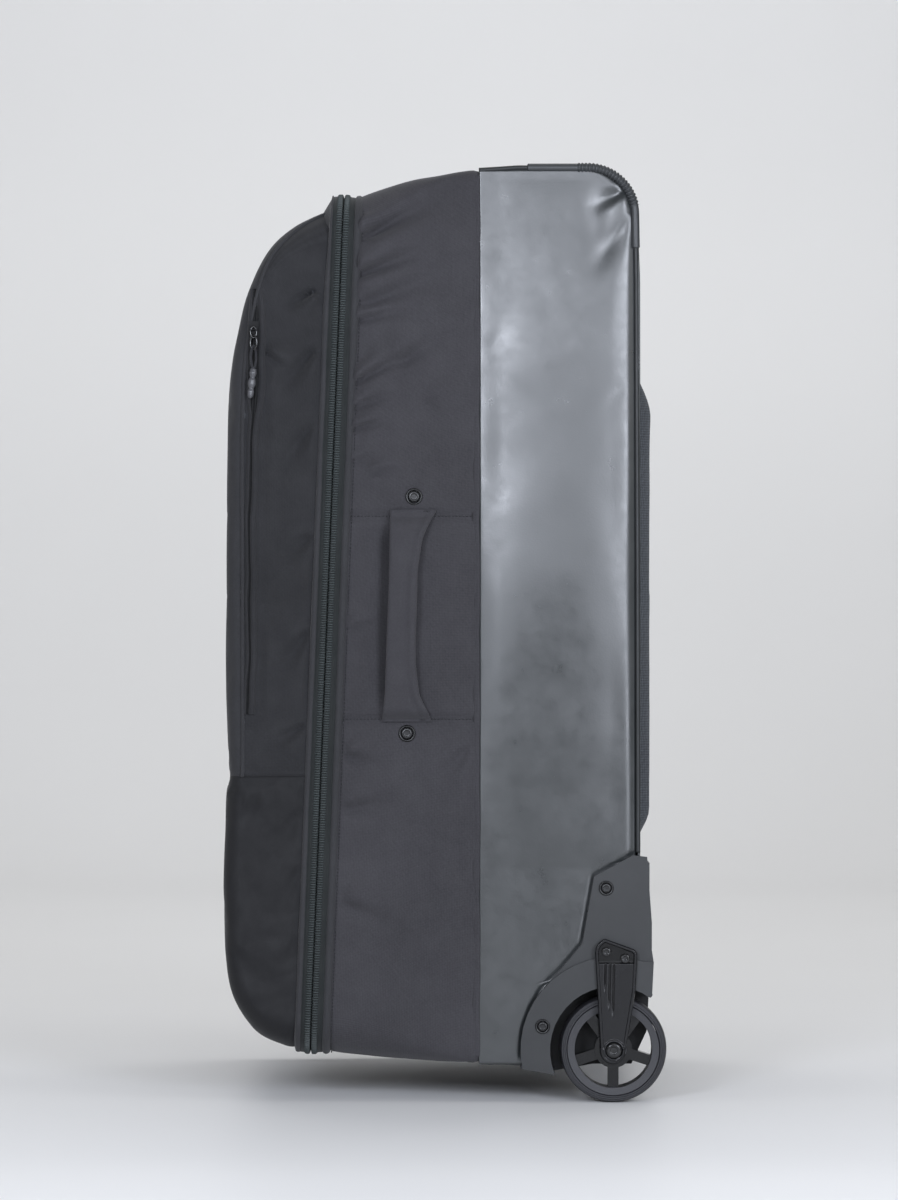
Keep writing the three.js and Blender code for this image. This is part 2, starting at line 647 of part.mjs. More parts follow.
function wheel(side, name) {
  const half = WHEEL.width / 2;
  const tyre = [
    [RIM_R + GAP, WHEEL.x - half + 1],
    [WHEEL.r - 3, WHEEL.x - half],
    [WHEEL.r - 0.9, WHEEL.x - half + 2.2],
    [WHEEL.r, WHEEL.x - half + 6],
    [WHEEL.r, WHEEL.x + half - 6],
    [WHEEL.r - 0.9, WHEEL.x + half - 2.2],
    [WHEEL.r - 3, WHEEL.x + half],
    [RIM_R + GAP, WHEEL.x + half - 1],
    [RIM_R + GAP, WHEEL.x - half + 1],
  ];
  add("tyre_" + name, turned(tyre, WHEEL.y, WHEEL.z, side, 48), MATERIALS.rubber);

  // The rim, with five windows between its spokes.
  const hubR = 16;
  const insideR = 33;
  const window = (i) => {
    const middle = 90 + (i + 0.5) * (360 / SPOKES) + 180;
    const spread = (r) => 36 - THREE.MathUtils.radToDeg(Math.asin(4.6 / r));
    const wide = spread(insideR);
    const slim = spread(hubR);
    return new THREE.Path([
      ...arcPoints(WHEEL.y, WHEEL.z, insideR, middle - wide, middle + wide, 6),
      ...arcPoints(WHEEL.y, WHEEL.z, hubR, middle + slim, middle - slim, 3),
    ]);
  };
  const disc = new THREE.Shape().absarc(WHEEL.y, WHEEL.z, RIM_R - 1, 0, 2 * Math.PI);
  for (let i = 0; i < SPOKES; i += 1) disc.holes.push(window(i));
  const spokes = acrossWidth(disc, WHEEL.x - 6, WHEEL.x + 6, side, 24);
  const band = [
    [insideR, WHEEL.x - half + 2],
    [RIM_R, WHEEL.x - half + 1.5],
    [RIM_R, WHEEL.x + half - 1.5],
    [insideR, WHEEL.x + half - 2],
    [insideR, WHEEL.x - half + 2],
  ];
  const hub = [
    [0, WHEEL.x - half + 2],
    [hubR, WHEEL.x - half + 2],
    [hubR, WHEEL.x + half - 2],
    [0, WHEEL.x + half - 2],
  ];
  const bore = [
    [0, WHEEL.x - half - 1],
    [BEARING.r + 0.2, WHEEL.x - half - 1],
    [BEARING.r + 0.2, WHEEL.x + half + 1],
    [0, WHEEL.x + half + 1],
  ];
  const place = (profile, segments) => turned(profile, WHEEL.y, WHEEL.z, side, segments);
  const rim = cut(joined(spokes, place(band, 48), place(hub, 24)), place(bore, 24));
  add("rim_" + name, rim, MATERIALS.glossPlastic);

  // Two bearings with a spacer between their inner rings.
  const reach = half - 2.5;
  const inner = reach - BEARING.width;
  const set = [
    [AXLE_R + 0.1, WHEEL.x - reach],
    [BEARING.r, WHEEL.x - reach],
    [BEARING.r, WHEEL.x - inner],
    [AXLE_R + 2, WHEEL.x - inner],
    [AXLE_R + 2, WHEEL.x + inner],
    [BEARING.r, WHEEL.x + inner],
    [BEARING.r, WHEEL.x + reach],
    [AXLE_R + 0.1, WHEEL.x + reach],
    [AXLE_R + 0.1, WHEEL.x - reach],
  ];
  add("bearing_set_" + name, place(set, 20), MATERIALS.steel);
}

function chassis() {
  // The moulded tray between the wheel wells, under the bottom and up the back.
  const outer = 168;
  const r = 30;
  const line = [
    point(FLOOR_END_Y + GAP, 30),
    point(outer - r, 30),
    ...arcPoints(outer - r, 30 + r, r, -75, -15, 4),
    point(outer, 30 + r),
    point(outer, 198),
  ];
  const width = WELL_X - GAP;
  add("rear_chassis", acrossWidth(sheet(line, 3.6), -width, width), MATERIALS.plastic);
}

// ---- The pull handle on top, and the strap inside ----
const PULL = { y: 94, z: TOP_Z + 7.5, x: 64, pin: 2.2, thick: 9, width: 9, front: 42 };

function pullHandle() {
  const reach = PULL.thick / 2;
  const inner = PULL.x - PULL.width;
  const shape = roundedRect(PULL.x, PULL.front, PULL.y + reach, 4);
  const opening = polygon([
    [-inner, PULL.front + 13],
    [inner, PULL.front + 13],
    [inner, PULL.y + 9],
    [-inner, PULL.y + 9],
  ]);
  const flat = (outline, half) => {
    const options = { depth: 2 * half, bevelEnabled: false, curveSegments: 4 };
    return new THREE.ExtrudeGeometry(outline, options).translate(0, 0, PULL.z - half);
  };
  const rod = (r, x0, x1) => turned([[0, x0], [r, x0], [r, x1], [0, x1]], PULL.y, PULL.z, 1, 16);
  const hole = rod(PULL.pin + GAP, -PULL.x - 1, PULL.x + 1);
  add("pull_handle", cut(flat(shape, reach), flat(opening, 20), hole), MATERIALS.rubber);

  for (const [name, side] of SIDES) {
    const x0 = PULL.x + GAP + 0.2;
    const base = block([x0, PULL.y - 15, TOP_Z + GAP], [x0 + 18, PULL.y + 15, TOP_Z + 4.5]);
    const ear = block([x0, PULL.y - 6, TOP_Z + 2], [x0 + 8, PULL.y + 6, PULL.z + 4.5]);
    const anchor = joined(base, ear, rod(PULL.pin, x0 - 6, x0 + 2));
    if (side < 0) anchor.rotateZ(Math.PI).translate(0, 2 * PULL.y, 0);
    add("handle_anchor_" + name, anchor, MATERIALS.plastic);
  }
}

function compressionStrap() {
  const y = BACK_Y - PANEL - 2 * GAP - 1.6; // the back stiffener's inner face
  const z = 470;
  add("compression_strap", block([-INNER, y - 1.6, z], [INNER, y, z + 25]), MATERIALS.webbing);
  const buckle = roundedRect(24, z - 4, z + 29, 5);
  const face = y - 1.6 - GAP;
  add("strap_buckle", throughDepth(buckle, face - 8, face, 4), MATERIALS.glossPlastic);
}

for (const [name, side] of SIDES) {
  sidePanels(side, name);
  edgeFrame(side, name);
  housing(side, name);
  bracket(side, name);
  wheel(side, name);
  mainSlider(side, name);
}
wovenBody();
topBottomAndBack();
backPad();
carryHandle();
chassis();
pullHandle();
compressionStrap();
lid();
pocketSlider();
lidHinge();
zipHalf("body", 1);
zipHalf("lid", -1);

export default bag;
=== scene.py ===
"""The wheeled gear bag's looks: fabric, zips, piping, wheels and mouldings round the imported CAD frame."""
import math

import bpy
import numpy as np
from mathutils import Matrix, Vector, noise
from mathutils.bvhtree import BVHTree


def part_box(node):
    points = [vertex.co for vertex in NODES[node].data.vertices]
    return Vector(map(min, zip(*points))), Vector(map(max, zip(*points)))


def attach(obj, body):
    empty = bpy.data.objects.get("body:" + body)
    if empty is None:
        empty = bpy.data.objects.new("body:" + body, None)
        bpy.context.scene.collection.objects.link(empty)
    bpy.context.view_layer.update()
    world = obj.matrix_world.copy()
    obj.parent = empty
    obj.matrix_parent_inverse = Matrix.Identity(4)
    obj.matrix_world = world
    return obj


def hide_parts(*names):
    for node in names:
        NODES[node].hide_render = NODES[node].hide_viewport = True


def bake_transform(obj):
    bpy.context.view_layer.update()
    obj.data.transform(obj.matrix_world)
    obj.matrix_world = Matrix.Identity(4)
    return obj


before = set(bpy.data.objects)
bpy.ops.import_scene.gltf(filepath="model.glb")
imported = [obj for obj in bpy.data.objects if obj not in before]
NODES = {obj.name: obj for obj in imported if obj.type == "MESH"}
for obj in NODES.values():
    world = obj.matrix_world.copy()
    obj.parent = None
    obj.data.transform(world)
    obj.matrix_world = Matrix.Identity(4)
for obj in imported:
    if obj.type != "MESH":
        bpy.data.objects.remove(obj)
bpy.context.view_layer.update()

MM = 0.001

# ---- Sizes read from the frame ----
SIDE_LOW, SIDE_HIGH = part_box("tarp_side_right")
HALF = SIDE_HIGH.x  # the sides' outer faces
TARP_Y = SIDE_LOW.y  # the seam between woven gusset and coated side
TOP_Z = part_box("top_panel_rear")[1].z
BACK_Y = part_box("back_panel")[1].y
WHEEL_LOW, WHEEL_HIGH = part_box("tyre_right")
WHEEL = (WHEEL_LOW + WHEEL_HIGH) / 2
WHEEL_R = (WHEEL_HIGH.z - WHEEL_LOW.z) / 2
ROD_X = sum(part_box("frame_rod_right")[i].x for i in (0, 1)) / 2

# ---- Shapes shared with the CAD, in metres ----
SEAM_Y, SEAM_Z, SEAM_LEAN = -0.1022, 0.4065, 0.0392
SEAM_UP = Vector((0, SEAM_LEAN, 1)).normalized()
SEAM_OUT = Vector((0, 1, -SEAM_LEAN)).normalized()
SEAM_LOW, SEAM_HIGH = 0.0436, 0.767
ZIP_HALF_HEIGHT = 0.3643
CORNER_R = 0.030
COIL_PITCH = 2.1 * MM
# The wheel arm is hollowed to below this distance from the middle, and the bracket's colour is painted in
# shade below it.
ARM_FACE = min(abs(v.x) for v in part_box("wheel_bracket_right")) + 2.9 * MM
EDGE_CORNER = (0.120, TOP_Z - 0.040, 0.040)  # the top rear corner's centre and radius
LID_POINTS = [
    (-89.5, 766), (-128, 747), (-157, 717), (-177, 660), (-185, 590), (-185.5, 430),
    (-185.5, 290), (-188, 200), (-185, 108), (-166, 63), (-138, 46.5), (-117.5, 43.5),
]
POCKET_SEAM_Z = 0.278
POCKET_ZIP = (Vector((HALF, -0.1635, 0.692)), Vector((HALF, -0.1700, 0.330)))  # its top and its bottom
HANDLE_SEAMS = (0.326, 0.4985)  # the heights of the stitched seams above and below the carry handle
PULL_SLIDER = Vector((HALF + 0.0003, -0.1642, 0.657))


def seam_y(z):
    return SEAM_Y + (z - SEAM_Z) * SEAM_LEAN


def catmull(points, steps):
    """A uniform Catmull-Rom curve through (y, z) points given in millimetres."""
    p = np.array(points, float) * MM
    t = np.linspace(0, len(p) - 1, steps)
    i = np.minimum(t.astype(int), len(p) - 2)
    w = (t - i)[:, None]
    a, b, c, d = (p[np.clip(i + k, 0, len(p) - 1)] for k in (-1, 0, 1, 2))
    v0, v1 = (c - a) / 2, (d - b) / 2
    return ((2 * b - 2 * c + v0 + v1) * w**3 + (3 * c - 3 * b - 2 * v0 - v1) * w**2 + v0 * w + b)


def resample(line, count):
    """Points at even distances along a line."""
    line = np.asarray(line, float)
    length = np.r_[0, np.cumsum(np.linalg.norm(np.diff(line, axis=0), axis=1))]
    at = np.linspace(0, length[-1], count)
    return np.stack([np.interp(at, length, line[:, k]) for k in range(line.shape[1])], 1)


def inward(line):
    """Unit normals to the left of a (y, z) line."""
    d = np.gradient(line, axis=0)
    d /= np.linalg.norm(d, axis=1, keepdims=True)
    return np.stack([-d[:, 1], d[:, 0]], 1)


LID_LINE = resample(catmull(LID_POINTS, 600), 321)

# ---- Mesh helpers ----


def grid(name, points, cyclic=False, flip=False, along=None):
    """A quad grid from a (rows, cols, 3) array, with UVs in metres across and along (or as given)."""
    points = np.asarray(points, float)
    rows, cols = points.shape[:2]
    index = np.arange(rows * cols).reshape(rows, cols)
    wide = points
    if cyclic:
        index = np.c_[index, index[:, 0]]
        wide = np.concatenate([points, points[:, :1]], 1)
    a, b, c, d = index[:-1, :-1], index[:-1, 1:], index[1:, 1:], index[1:, :-1]
    faces = np.stack([a, d, c, b] if flip else [a, b, c, d], -1).reshape(-1, 4)
    mesh = bpy.data.meshes.new(name)
    mesh.from_pydata(points.reshape(-1, 3).tolist(), [], faces.tolist())
    u = np.cumsum(np.r_[0, np.linalg.norm(np.diff(wide, axis=1), axis=2).mean(0)])
    v = np.cumsum(np.r_[0, np.linalg.norm(np.diff(wide, axis=0), axis=2).mean(1)]) if along is None else along
    corners = [np.stack([g[:-1, :-1], g[:-1, 1:], g[1:, 1:], g[1:, :-1]], -1) for g in np.meshgrid(u, v)]
    corners = np.stack(corners, -1)
    if flip:
        corners = corners[:, :, [0, 3, 2, 1]]
    layer = mesh.uv_layers.new(name="UVMap")
    layer.data.foreach_set("uv", corners.reshape(-1).astype(np.float32))
    mesh.polygons.foreach_set("use_smooth", np.ones(len(mesh.polygons), bool))
    mesh.update()
    obj = bpy.data.objects.new(name, mesh)
    bpy.context.scene.collection.objects.link(obj)
    return obj


def coords(obj):
    co = np.zeros(len(obj.data.vertices) * 3)
    obj.data.vertices.foreach_get("co", co)
    return co.reshape(-1, 3)


def set_coords(obj, co):
    obj.data.vertices.foreach_set("co", np.asarray(co, float).reshape(-1))
    obj.data.update()


def normals(obj):
    out = np.zeros(len(obj.data.vertices) * 3)
    obj.data.vertices.foreach_get("normal", out)
    return out.reshape(-1, 3)


def tube(name, points, radius, sides=12, closed_ends=True):
    """A tube along points, whose radius may vary, with rounded ends."""
    p = np.asarray(points, float)
    n = len(p)
    r = np.broadcast_to(np.asarray(radius, float), (n,)).copy()
    t = np.gradient(p, axis=0)
    t /= np.linalg.norm(t, axis=1, keepdims=True)
    least = np.linalg.svd(t, full_matrices=False)[2][-1]  # the direction that the line runs along the least
    side = np.cross(t, least)
    side /= np.linalg.norm(side, axis=1, keepdims=True)
    up = np.cross(side, t)
    if closed_ends:
        cap = np.array([0.02, 0.6, 0.9])
        reach = 0.5 * (1 - cap)[:, None] ** 0.5
        p = np.r_[p[:1] - t[:1] * r[0] * reach, p, (p[-1:] + t[-1:] * r[-1] * reach)[::-1]]
        r = np.r_[r[0] * cap, r, (r[-1] * cap)[::-1]]
        side, up = (np.r_[np.repeat(v[:1], 3, 0), v, np.repeat(v[-1:], 3, 0)] for v in (side, up))
    a = np.linspace(0, 2 * np.pi, sides, endpoint=False)
    ring = side[:, None] * np.cos(a)[None, :, None] + up[:, None] * np.sin(a)[None, :, None]
    return grid(name, p[:, None] + ring * r[:, None, None], cyclic=True, flip=True)


def lathe(name, profile, centre, side=1, segments=128):
    """A turned piece on an axis along X, from pairs of radius and x."""
    a = np.linspace(0, 2 * np.pi, segments, endpoint=False)
    rows = [
        np.stack([np.full(segments, side * x), centre.y + r * np.cos(a), centre.z + r * np.sin(a)], 1)
        for r, x in profile
    ]
    return grid(name, rows, cyclic=True, flip=side < 0)


def join(name, objs):
    bpy.ops.object.select_all(action="DESELECT")
    for o in objs:
        o.select_set(True)
    bpy.context.view_layer.objects.active = objs[0]
    bpy.ops.object.join()
    objs[0].name = objs[0].data.name = name
    return objs[0]


def bevel(obj, width, segments=2, angle=35):
    mod = obj.modifiers.new("edges", "BEVEL")
    mod.width = width
    mod.segments = segments
    mod.limit_method = "ANGLE"
    mod.angle_limit = math.radians(angle)
    mod.harden_normals = True
    obj.data.polygons.foreach_set("use_smooth", np.ones(len(obj.data.polygons), bool))
    return obj


def thicken(obj, depth, inner_material=None):
    """Gives a sheet its thickness, inwards, with a lining on the inside."""
    mod = obj.modifiers.new("thickness", "SOLIDIFY")
    mod.thickness = depth
    mod.offset = -1
    mod.use_rim = True
    mod.use_quality_normals = True
    if inner_material:
        obj.data.materials.append(inner_material)
        mod.material_offset = 1
        mod.material_offset_rim = 0
    return obj


def drape(obj, pinned, pressure=1.0, swell=0.01, cap=0.006, frames=18, bend=4.0, seed_noise=0.0012):
    """Swells a sewn panel like padded fabric: its edges are held, and no point moves more than `cap`."""
    start = coords(obj)
    rng = np.random.default_rng(len(start))
    free = np.ones(len(start))
    free[pinned] = 0
    jitter = low_noise(start, 30, rng.random() * 9) * seed_noise * free
    set_coords(obj, start + normals(obj) * jitter[:, None])
    group = obj.vertex_groups.new(name="held")
    group.add([int(i) for i in pinned], 1.0, "REPLACE")
    mod = obj.modifiers.new("cloth", "CLOTH")
    cloth = mod.settings
    cloth.quality = 5
    cloth.mass = 0.3
    cloth.tension_stiffness = cloth.compression_stiffness = 25
    cloth.shear_stiffness = 8
    cloth.bending_stiffness = bend
    cloth.vertex_group_mass = "held"
    cloth.use_pressure = True
    cloth.uniform_pressure_force = pressure
    cloth.shrink_min = -swell
    cloth.effector_weights.gravity = 0
    mod.point_cache.frame_start, mod.point_cache.frame_end = 1, frames
    scene = bpy.context.scene
    for f in range(1, frames + 1):
        scene.frame_set(f)
    done = obj.evaluated_get(bpy.context.evaluated_depsgraph_get())
    co = np.zeros(len(start) * 3)
    done.data.vertices.foreach_get("co", co)
    moved = co.reshape(-1, 3) - start
    far = np.linalg.norm(moved, axis=1, keepdims=True)
    moved *= np.tanh(far / cap) * cap / np.maximum(far, 1e-9)
    obj.modifiers.remove(mod)
    obj.vertex_groups.remove(group)
    scene.frame_set(1)
    set_coords(obj, start + moved)
    return obj


def edge_ids(rows, cols):
    """The vertices on the four edges of a grid of points."""
    index = np.arange(rows * cols).reshape(rows, cols)
    return np.unique(np.concatenate([index[0], index[-1], index[:, 0], index[:, -1]]))


# ---- Materials ----


def nodes_of(name):
    mat = bpy.data.materials.new(name)
    mat.use_nodes = True
    tree = mat.node_tree
    return mat, tree, tree.nodes["Principled BSDF"]


class Tree:
    """Short words for making and joining shader nodes."""

    def __init__(self, tree):
        self.tree = tree

    def node(self, kind, **values):
        made = self.tree.nodes.new("ShaderNode" + kind)
        for key, value in values.items():
            if hasattr(made, key):
                setattr(made, key, value)
            else:
                made.inputs[key.replace("_", " ")].default_value = value
        return made

    def link(self, a, b):
        self.tree.links.new(a, b)
        return b.node

    def math(self, op, a, b=0.0):
        made = self.node("Math", operation=op)
        for socket, value in zip(made.inputs, (a, b)):
            if isinstance(value, (int, float)):
                socket.default_value = value
            else:
                self.link(value, socket)
        return made.outputs[0]

    def noise(self, vector, scale, detail=4.0, rough=0.55):
        made = self.node("TexNoise", Scale=scale, Detail=detail, Roughness=rough)
        self.link(vector, made.inputs["Vector"])
        return made.outputs["Fac"]

    def ramp(self, value, low, high, out_low=0.0, out_high=1.0):
        made = self.node("MapRange")
        for key, v in zip(("From Min", "From Max", "To Min", "To Max"), (low, high, out_low, out_high)):
            made.inputs[key].default_value = v
        self.link(value, made.inputs["Value"])
        return made.outputs["Result"]

    def mix(self, factor, a, b):
        made = self.node("Mix", data_type="RGBA")
        for socket, value in ((made.inputs[0], factor), (made.inputs[6], a), (made.inputs[7], b)):
            if isinstance(value, (tuple, float, int)):
                socket.default_value = value
            else:
                self.link(value, socket)
        return made.outputs[2]

    def bump(self, height, strength, distance, normal=None):
        made = self.node("Bump", Strength=strength, Distance=distance)
        self.link(height, made.inputs["Height"])
        if normal is not None:
            self.link(normal, made.inputs["Normal"])
        return made.outputs["Normal"]


def srgb(r, g, b):
    """A linear colour from 0 to 255 screen values."""
    return tuple(
        (c / 255 / 12.92) if c < 11 else ((c / 255 + 0.055) / 1.055) ** 2.4
        for c in (r, g, b)
    ) + (1.0,)


def scaled(colour, k):
    return tuple(c * k for c in colour[:3]) + (1.0,)


def woven(name, colour, pitch=1.3 * MM, rough=0.85, sheen=0.12, depth=0.14 * MM, contrast=0.2, blotch=0.12):
    """Woven cloth from UVs in metres: crossing threads on a twill, heathering, and soft unevenness."""
    mat, tree, bsdf = nodes_of(name)
    t = Tree(tree)
    uv = t.node("TexCoord").outputs["UV"]
    place = t.node("TexCoord").outputs["Object"]
    threads = []
    for direction, wide in (("X", 1.0), ("Y", 1.0), ("DIAGONAL", 1.9)):
        scale = math.pi / 10 / (pitch * wide)
        wave = t.node("TexWave", wave_type="BANDS", bands_direction=direction, Scale=scale, Distortion=0.8)
        wave.inputs["Detail Scale"].default_value = 1.5
        t.link(uv, wave.inputs["Vector"])
        threads.append(wave.outputs["Fac"])
    cross = t.math("ADD", t.math("MULTIPLY", threads[0], 0.44), t.math("MULTIPLY", threads[1], 0.44))
    twill = t.math("ADD", cross, t.math("MULTIPLY", threads[2], 0.12))
    heather = t.math(
        "ADD", t.math("MULTIPLY", t.noise(uv, 330, 3, 0.7), 0.5),
        t.math("MULTIPLY", t.noise(uv, 900, 2), 0.5),
    )
    uneven = t.noise(place, 9, 5)
    wear = t.noise(place, 60, 6)
    shade = t.math("ADD", t.math("MULTIPLY", twill, contrast), t.math("MULTIPLY", heather, 0.55))
    shade = t.math("ADD", shade, t.math("MULTIPLY", t.math("SUBTRACT", uneven, 0.5), 2 * blotch))
    middle = contrast * 0.5 + 0.275
    level = t.ramp(shade, middle - 0.32, middle + 0.32)
    t.link(t.mix(level, scaled(colour, 0.46), scaled(colour, 1.54)), bsdf.inputs["Base Color"])
    t.link(t.ramp(wear, 0.3, 0.7, rough - 0.07, min(rough + 0.07, 1.0)), bsdf.inputs["Roughness"])
    soft = t.bump(uneven, 0.25, 0.8 * MM)
    t.link(t.bump(twill, 0.7, depth, soft), bsdf.inputs["Normal"])
    bsdf.inputs["Sheen Weight"].default_value = sheen
    bsdf.inputs["Sheen Roughness"].default_value = 0.45
    bsdf.inputs["Specular IOR Level"].default_value = 0.25
    return mat


def coated(name, colour, rough, specular, coat=0.0):
    """Coated tarpaulin: a fine pressed grain over a faint base weave, with rubbed patches."""
    mat, tree, bsdf = nodes_of(name)
    t = Tree(tree)
    place = t.node("TexCoord").outputs["Object"]
    grain = t.noise(place, 1400, 3)
    weave = t.node("TexVoronoi", feature="SMOOTH_F1", Scale=620)
    t.link(place, weave.inputs["Vector"])
    cloud = t.noise(place, 7, 6)
    rub = t.noise(place, 45, 8, 0.7)
    level = t.math("ADD", t.math("MULTIPLY", cloud, 0.7), t.math("MULTIPLY", rub, 0.3))
    t.link(
        t.mix(t.ramp(level, 0.3, 0.7), scaled(colour, 0.86), scaled(colour, 1.12)),
        bsdf.inputs["Base Color"],
    )
    t.link(t.ramp(rub, 0.3, 0.7, rough - 0.05, rough + 0.08), bsdf.inputs["Roughness"])
    soft = t.bump(t.noise(place, 6, 1), 0.35, 1.0 * MM)
    pressed = t.bump(weave.outputs["Distance"], 0.22, 0.1 * MM, soft)
    t.link(t.bump(grain, 0.25, 0.05 * MM, pressed), bsdf.inputs["Normal"])
    bsdf.inputs["Specular IOR Level"].default_value = specular
    bsdf.inputs["Coat Weight"].default_value = coat
    bsdf.inputs["Coat Roughness"].default_value = 0.5
    return mat


def moulded(
    name, colour, rough=0.5, specular=0.5, grain_size=900, grain_depth=0.05 * MM, metallic=0.0, coat=0.0,
    painted_shade_inside=None, rib_shade_pitch=None, band=None,
):
    """Moulded plastic, rubber or painted metal: fine grain, slow colour drift and scuffs in its shine, with
    optional painted shade on what lies inward of a given distance from the middle and in the valleys between
    ribs, and an outer band of another colour.
    """
    mat, tree, bsdf = nodes_of(name)
    t = Tree(tree)
    place = t.node("TexCoord").outputs["Object"]
    grain = t.noise(place, grain_size, 3)
    cloud = t.noise(place, 22, 6)
    scuff = t.noise(place, 160, 8, 0.75)
    tone = t.mix(t.ramp(cloud, 0.3, 0.7), scaled(colour, 0.88), scaled(colour, 1.12))
    # Painted shade: everything nearer the middle than the given distance is darkened to a tenth of its
    # colour, as the shade in recesses.
    if painted_shade_inside:
        split = t.node("SeparateXYZ")
        t.link(place, split.inputs[0])
        outside = t.ramp(
            t.math("ABSOLUTE", split.outputs["X"]), painted_shade_inside - 0.4 * MM, painted_shade_inside + 0.4 * MM,
        )
        tone = t.mix(outside, scaled(colour, 0.10), tone)
    shine = t.ramp(scuff, 0.35, 0.7, rough - 0.04, rough + 0.08)
    # Painted shade: the valleys between the coil's teeth are darkened along the UVs at the rib pitch.
    if rib_shade_pitch:
        split = t.node("SeparateXYZ")
        t.link(t.node("TexCoord").outputs["UV"], split.inputs[0])
        crest = t.math("COSINE", t.math("MULTIPLY", split.outputs["Y"], 2 * math.pi / rib_shade_pitch))
        tone = t.mix(t.ramp(crest, -0.7, 0.3), scaled(colour, 0.18), tone)
    if band:
        split = t.node("SeparateXYZ")
        t.link(place, split.inputs[0])
        squares = [
            t.math(
                "POWER",
                t.math("ABSOLUTE", t.math("SUBTRACT", split.outputs[axis], getattr(WHEEL, axis.lower()))),
                2.0,
            )
            for axis in "YZ"
        ]
        radius = t.math("SQRT", t.math("ADD", *squares))
        outer = t.ramp(radius, 32.6 * MM, 33.2 * MM)
        tone = t.mix(outer, tone, band)
        shine = t.math("ADD", shine, t.math("MULTIPLY", outer, 0.3))
    t.link(tone, bsdf.inputs["Base Color"])
    t.link(shine, bsdf.inputs["Roughness"])
    t.link(t.bump(grain, 0.5, grain_depth), bsdf.inputs["Normal"])
    bsdf.inputs["Specular IOR Level"].default_value = specular
    bsdf.inputs["Metallic"].default_value = metallic
    bsdf.inputs["Coat Weight"].default_value = coat
    bsdf.inputs["Coat Roughness"].default_value = 0.15
    return mat


M = {
    "woven": woven("woven_twill", srgb(49, 48, 51), contrast=0.24, blotch=0.2),
    # Painted shade: the lid's twill is the body's woven cloth painted darker, for the shade on the lid's
    # side.
    "lid": woven("lid_twill_painted_shade", srgb(33, 33, 35), contrast=0.24, blotch=0.2),
    "strip": woven("woven_edge_strip", srgb(41, 41, 43), pitch=0.7 * MM),
    "welt": woven("woven_welt", srgb(44, 44, 46), pitch=0.7 * MM),
    "nylon": woven("smooth_nylon", srgb(21, 21, 23), pitch=0.45 * MM, rough=0.72, sheen=0.1, depth=0.04 * MM),
    "tape": woven("zip_tape_weave", srgb(27, 30, 30), pitch=1.1 * MM, rough=0.8, depth=0.15 * MM),
    "webbing": woven("ribbed_webbing", srgb(34, 34, 37), pitch=1.6 * MM, depth=0.3 * MM),
    "handle": woven("handle_twill", srgb(50, 49, 52), pitch=0.8 * MM),
    "lining": woven("plain_lining", srgb(56, 58, 62), pitch=0.5 * MM, rough=0.7, depth=0.05 * MM),
    "pad": woven("pad_mesh_fabric", srgb(62, 65, 69), pitch=2.2 * MM, depth=0.5 * MM, contrast=0.7),
    "thread": woven("stitch_thread", srgb(20, 21, 23), pitch=0.3 * MM),
    "tarp": coated("coated_tarpaulin", srgb(34, 37, 38), 0.31, 0.8),
    # The coil's colour is darkened in the valleys between its teeth as painted shade.
    "coil": moulded("coil_nylon", srgb(52, 58, 58), 0.5, 0.35, 1500, rib_shade_pitch=COIL_PITCH),
    "piping": moulded("piping_vinyl", srgb(27, 29, 30), 0.45, 0.35),
    "guard": moulded("guard_rubber", srgb(44, 46, 48), 0.45, 0.45),
    # The housing's material, also on the rear chassis and handle anchor, is painted in shade wherever it lies
    # inward of the sides.
    "housing": moulded(
        "housing_grained", srgb(44, 45, 46), 0.5, 0.32, 1100, 0.06 * MM, painted_shade_inside=HALF - 1 * MM,
    ),
    # The bracket's colour is painted in shade below the hollowed face's depth.
    "bracket": moulded("bracket_satin", srgb(17, 17, 19), 0.22, 0.36, 1500, 0.002 * MM, painted_shade_inside=ARM_FACE),
    "board": moulded("board_sheet", srgb(40, 41, 42), 0.6, 0.4),
    "tyre": moulded("tyre_urethane", srgb(38, 38, 41), 0.5, 0.3, 1300, 0.02 * MM),
    "rim": moulded("rim_gloss", srgb(8, 8, 9), 0.16, 0.4, 2000, 0.001 * MM, band=srgb(44, 44, 47)),
    "black": moulded("black_metal", srgb(9, 9, 10), 0.2, 0.6, 1800, 0.004 * MM),
    "bead": moulded("bead_rubber", srgb(70, 70, 73), 0.3, 0.5, 1500, 0.02 * MM),
    "rivet": moulded("rivet_cap", srgb(12, 12, 13), 0.34, 0.4, 1500, 0.004 * MM),
    "slider": moulded("slider_metal", srgb(7, 7, 8), 0.6, 0.2, 1500, 0.004 * MM),
    "steel": moulded("bearing_steel", srgb(150, 152, 155), 0.28, 0.5, 2000, 0.01 * MM, metallic=1.0),
    "pull": moulded("pull_rubber", srgb(40, 40, 43), 0.5, 0.45),
}


def finish_piece(obj, material, slot, body, *replaced):
    obj.data.materials.clear()
    obj.data.materials.append(M[material])
    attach(obj, body)
    if replaced:
        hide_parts(*replaced)
    return obj


# ---- Camera, floor and light ----


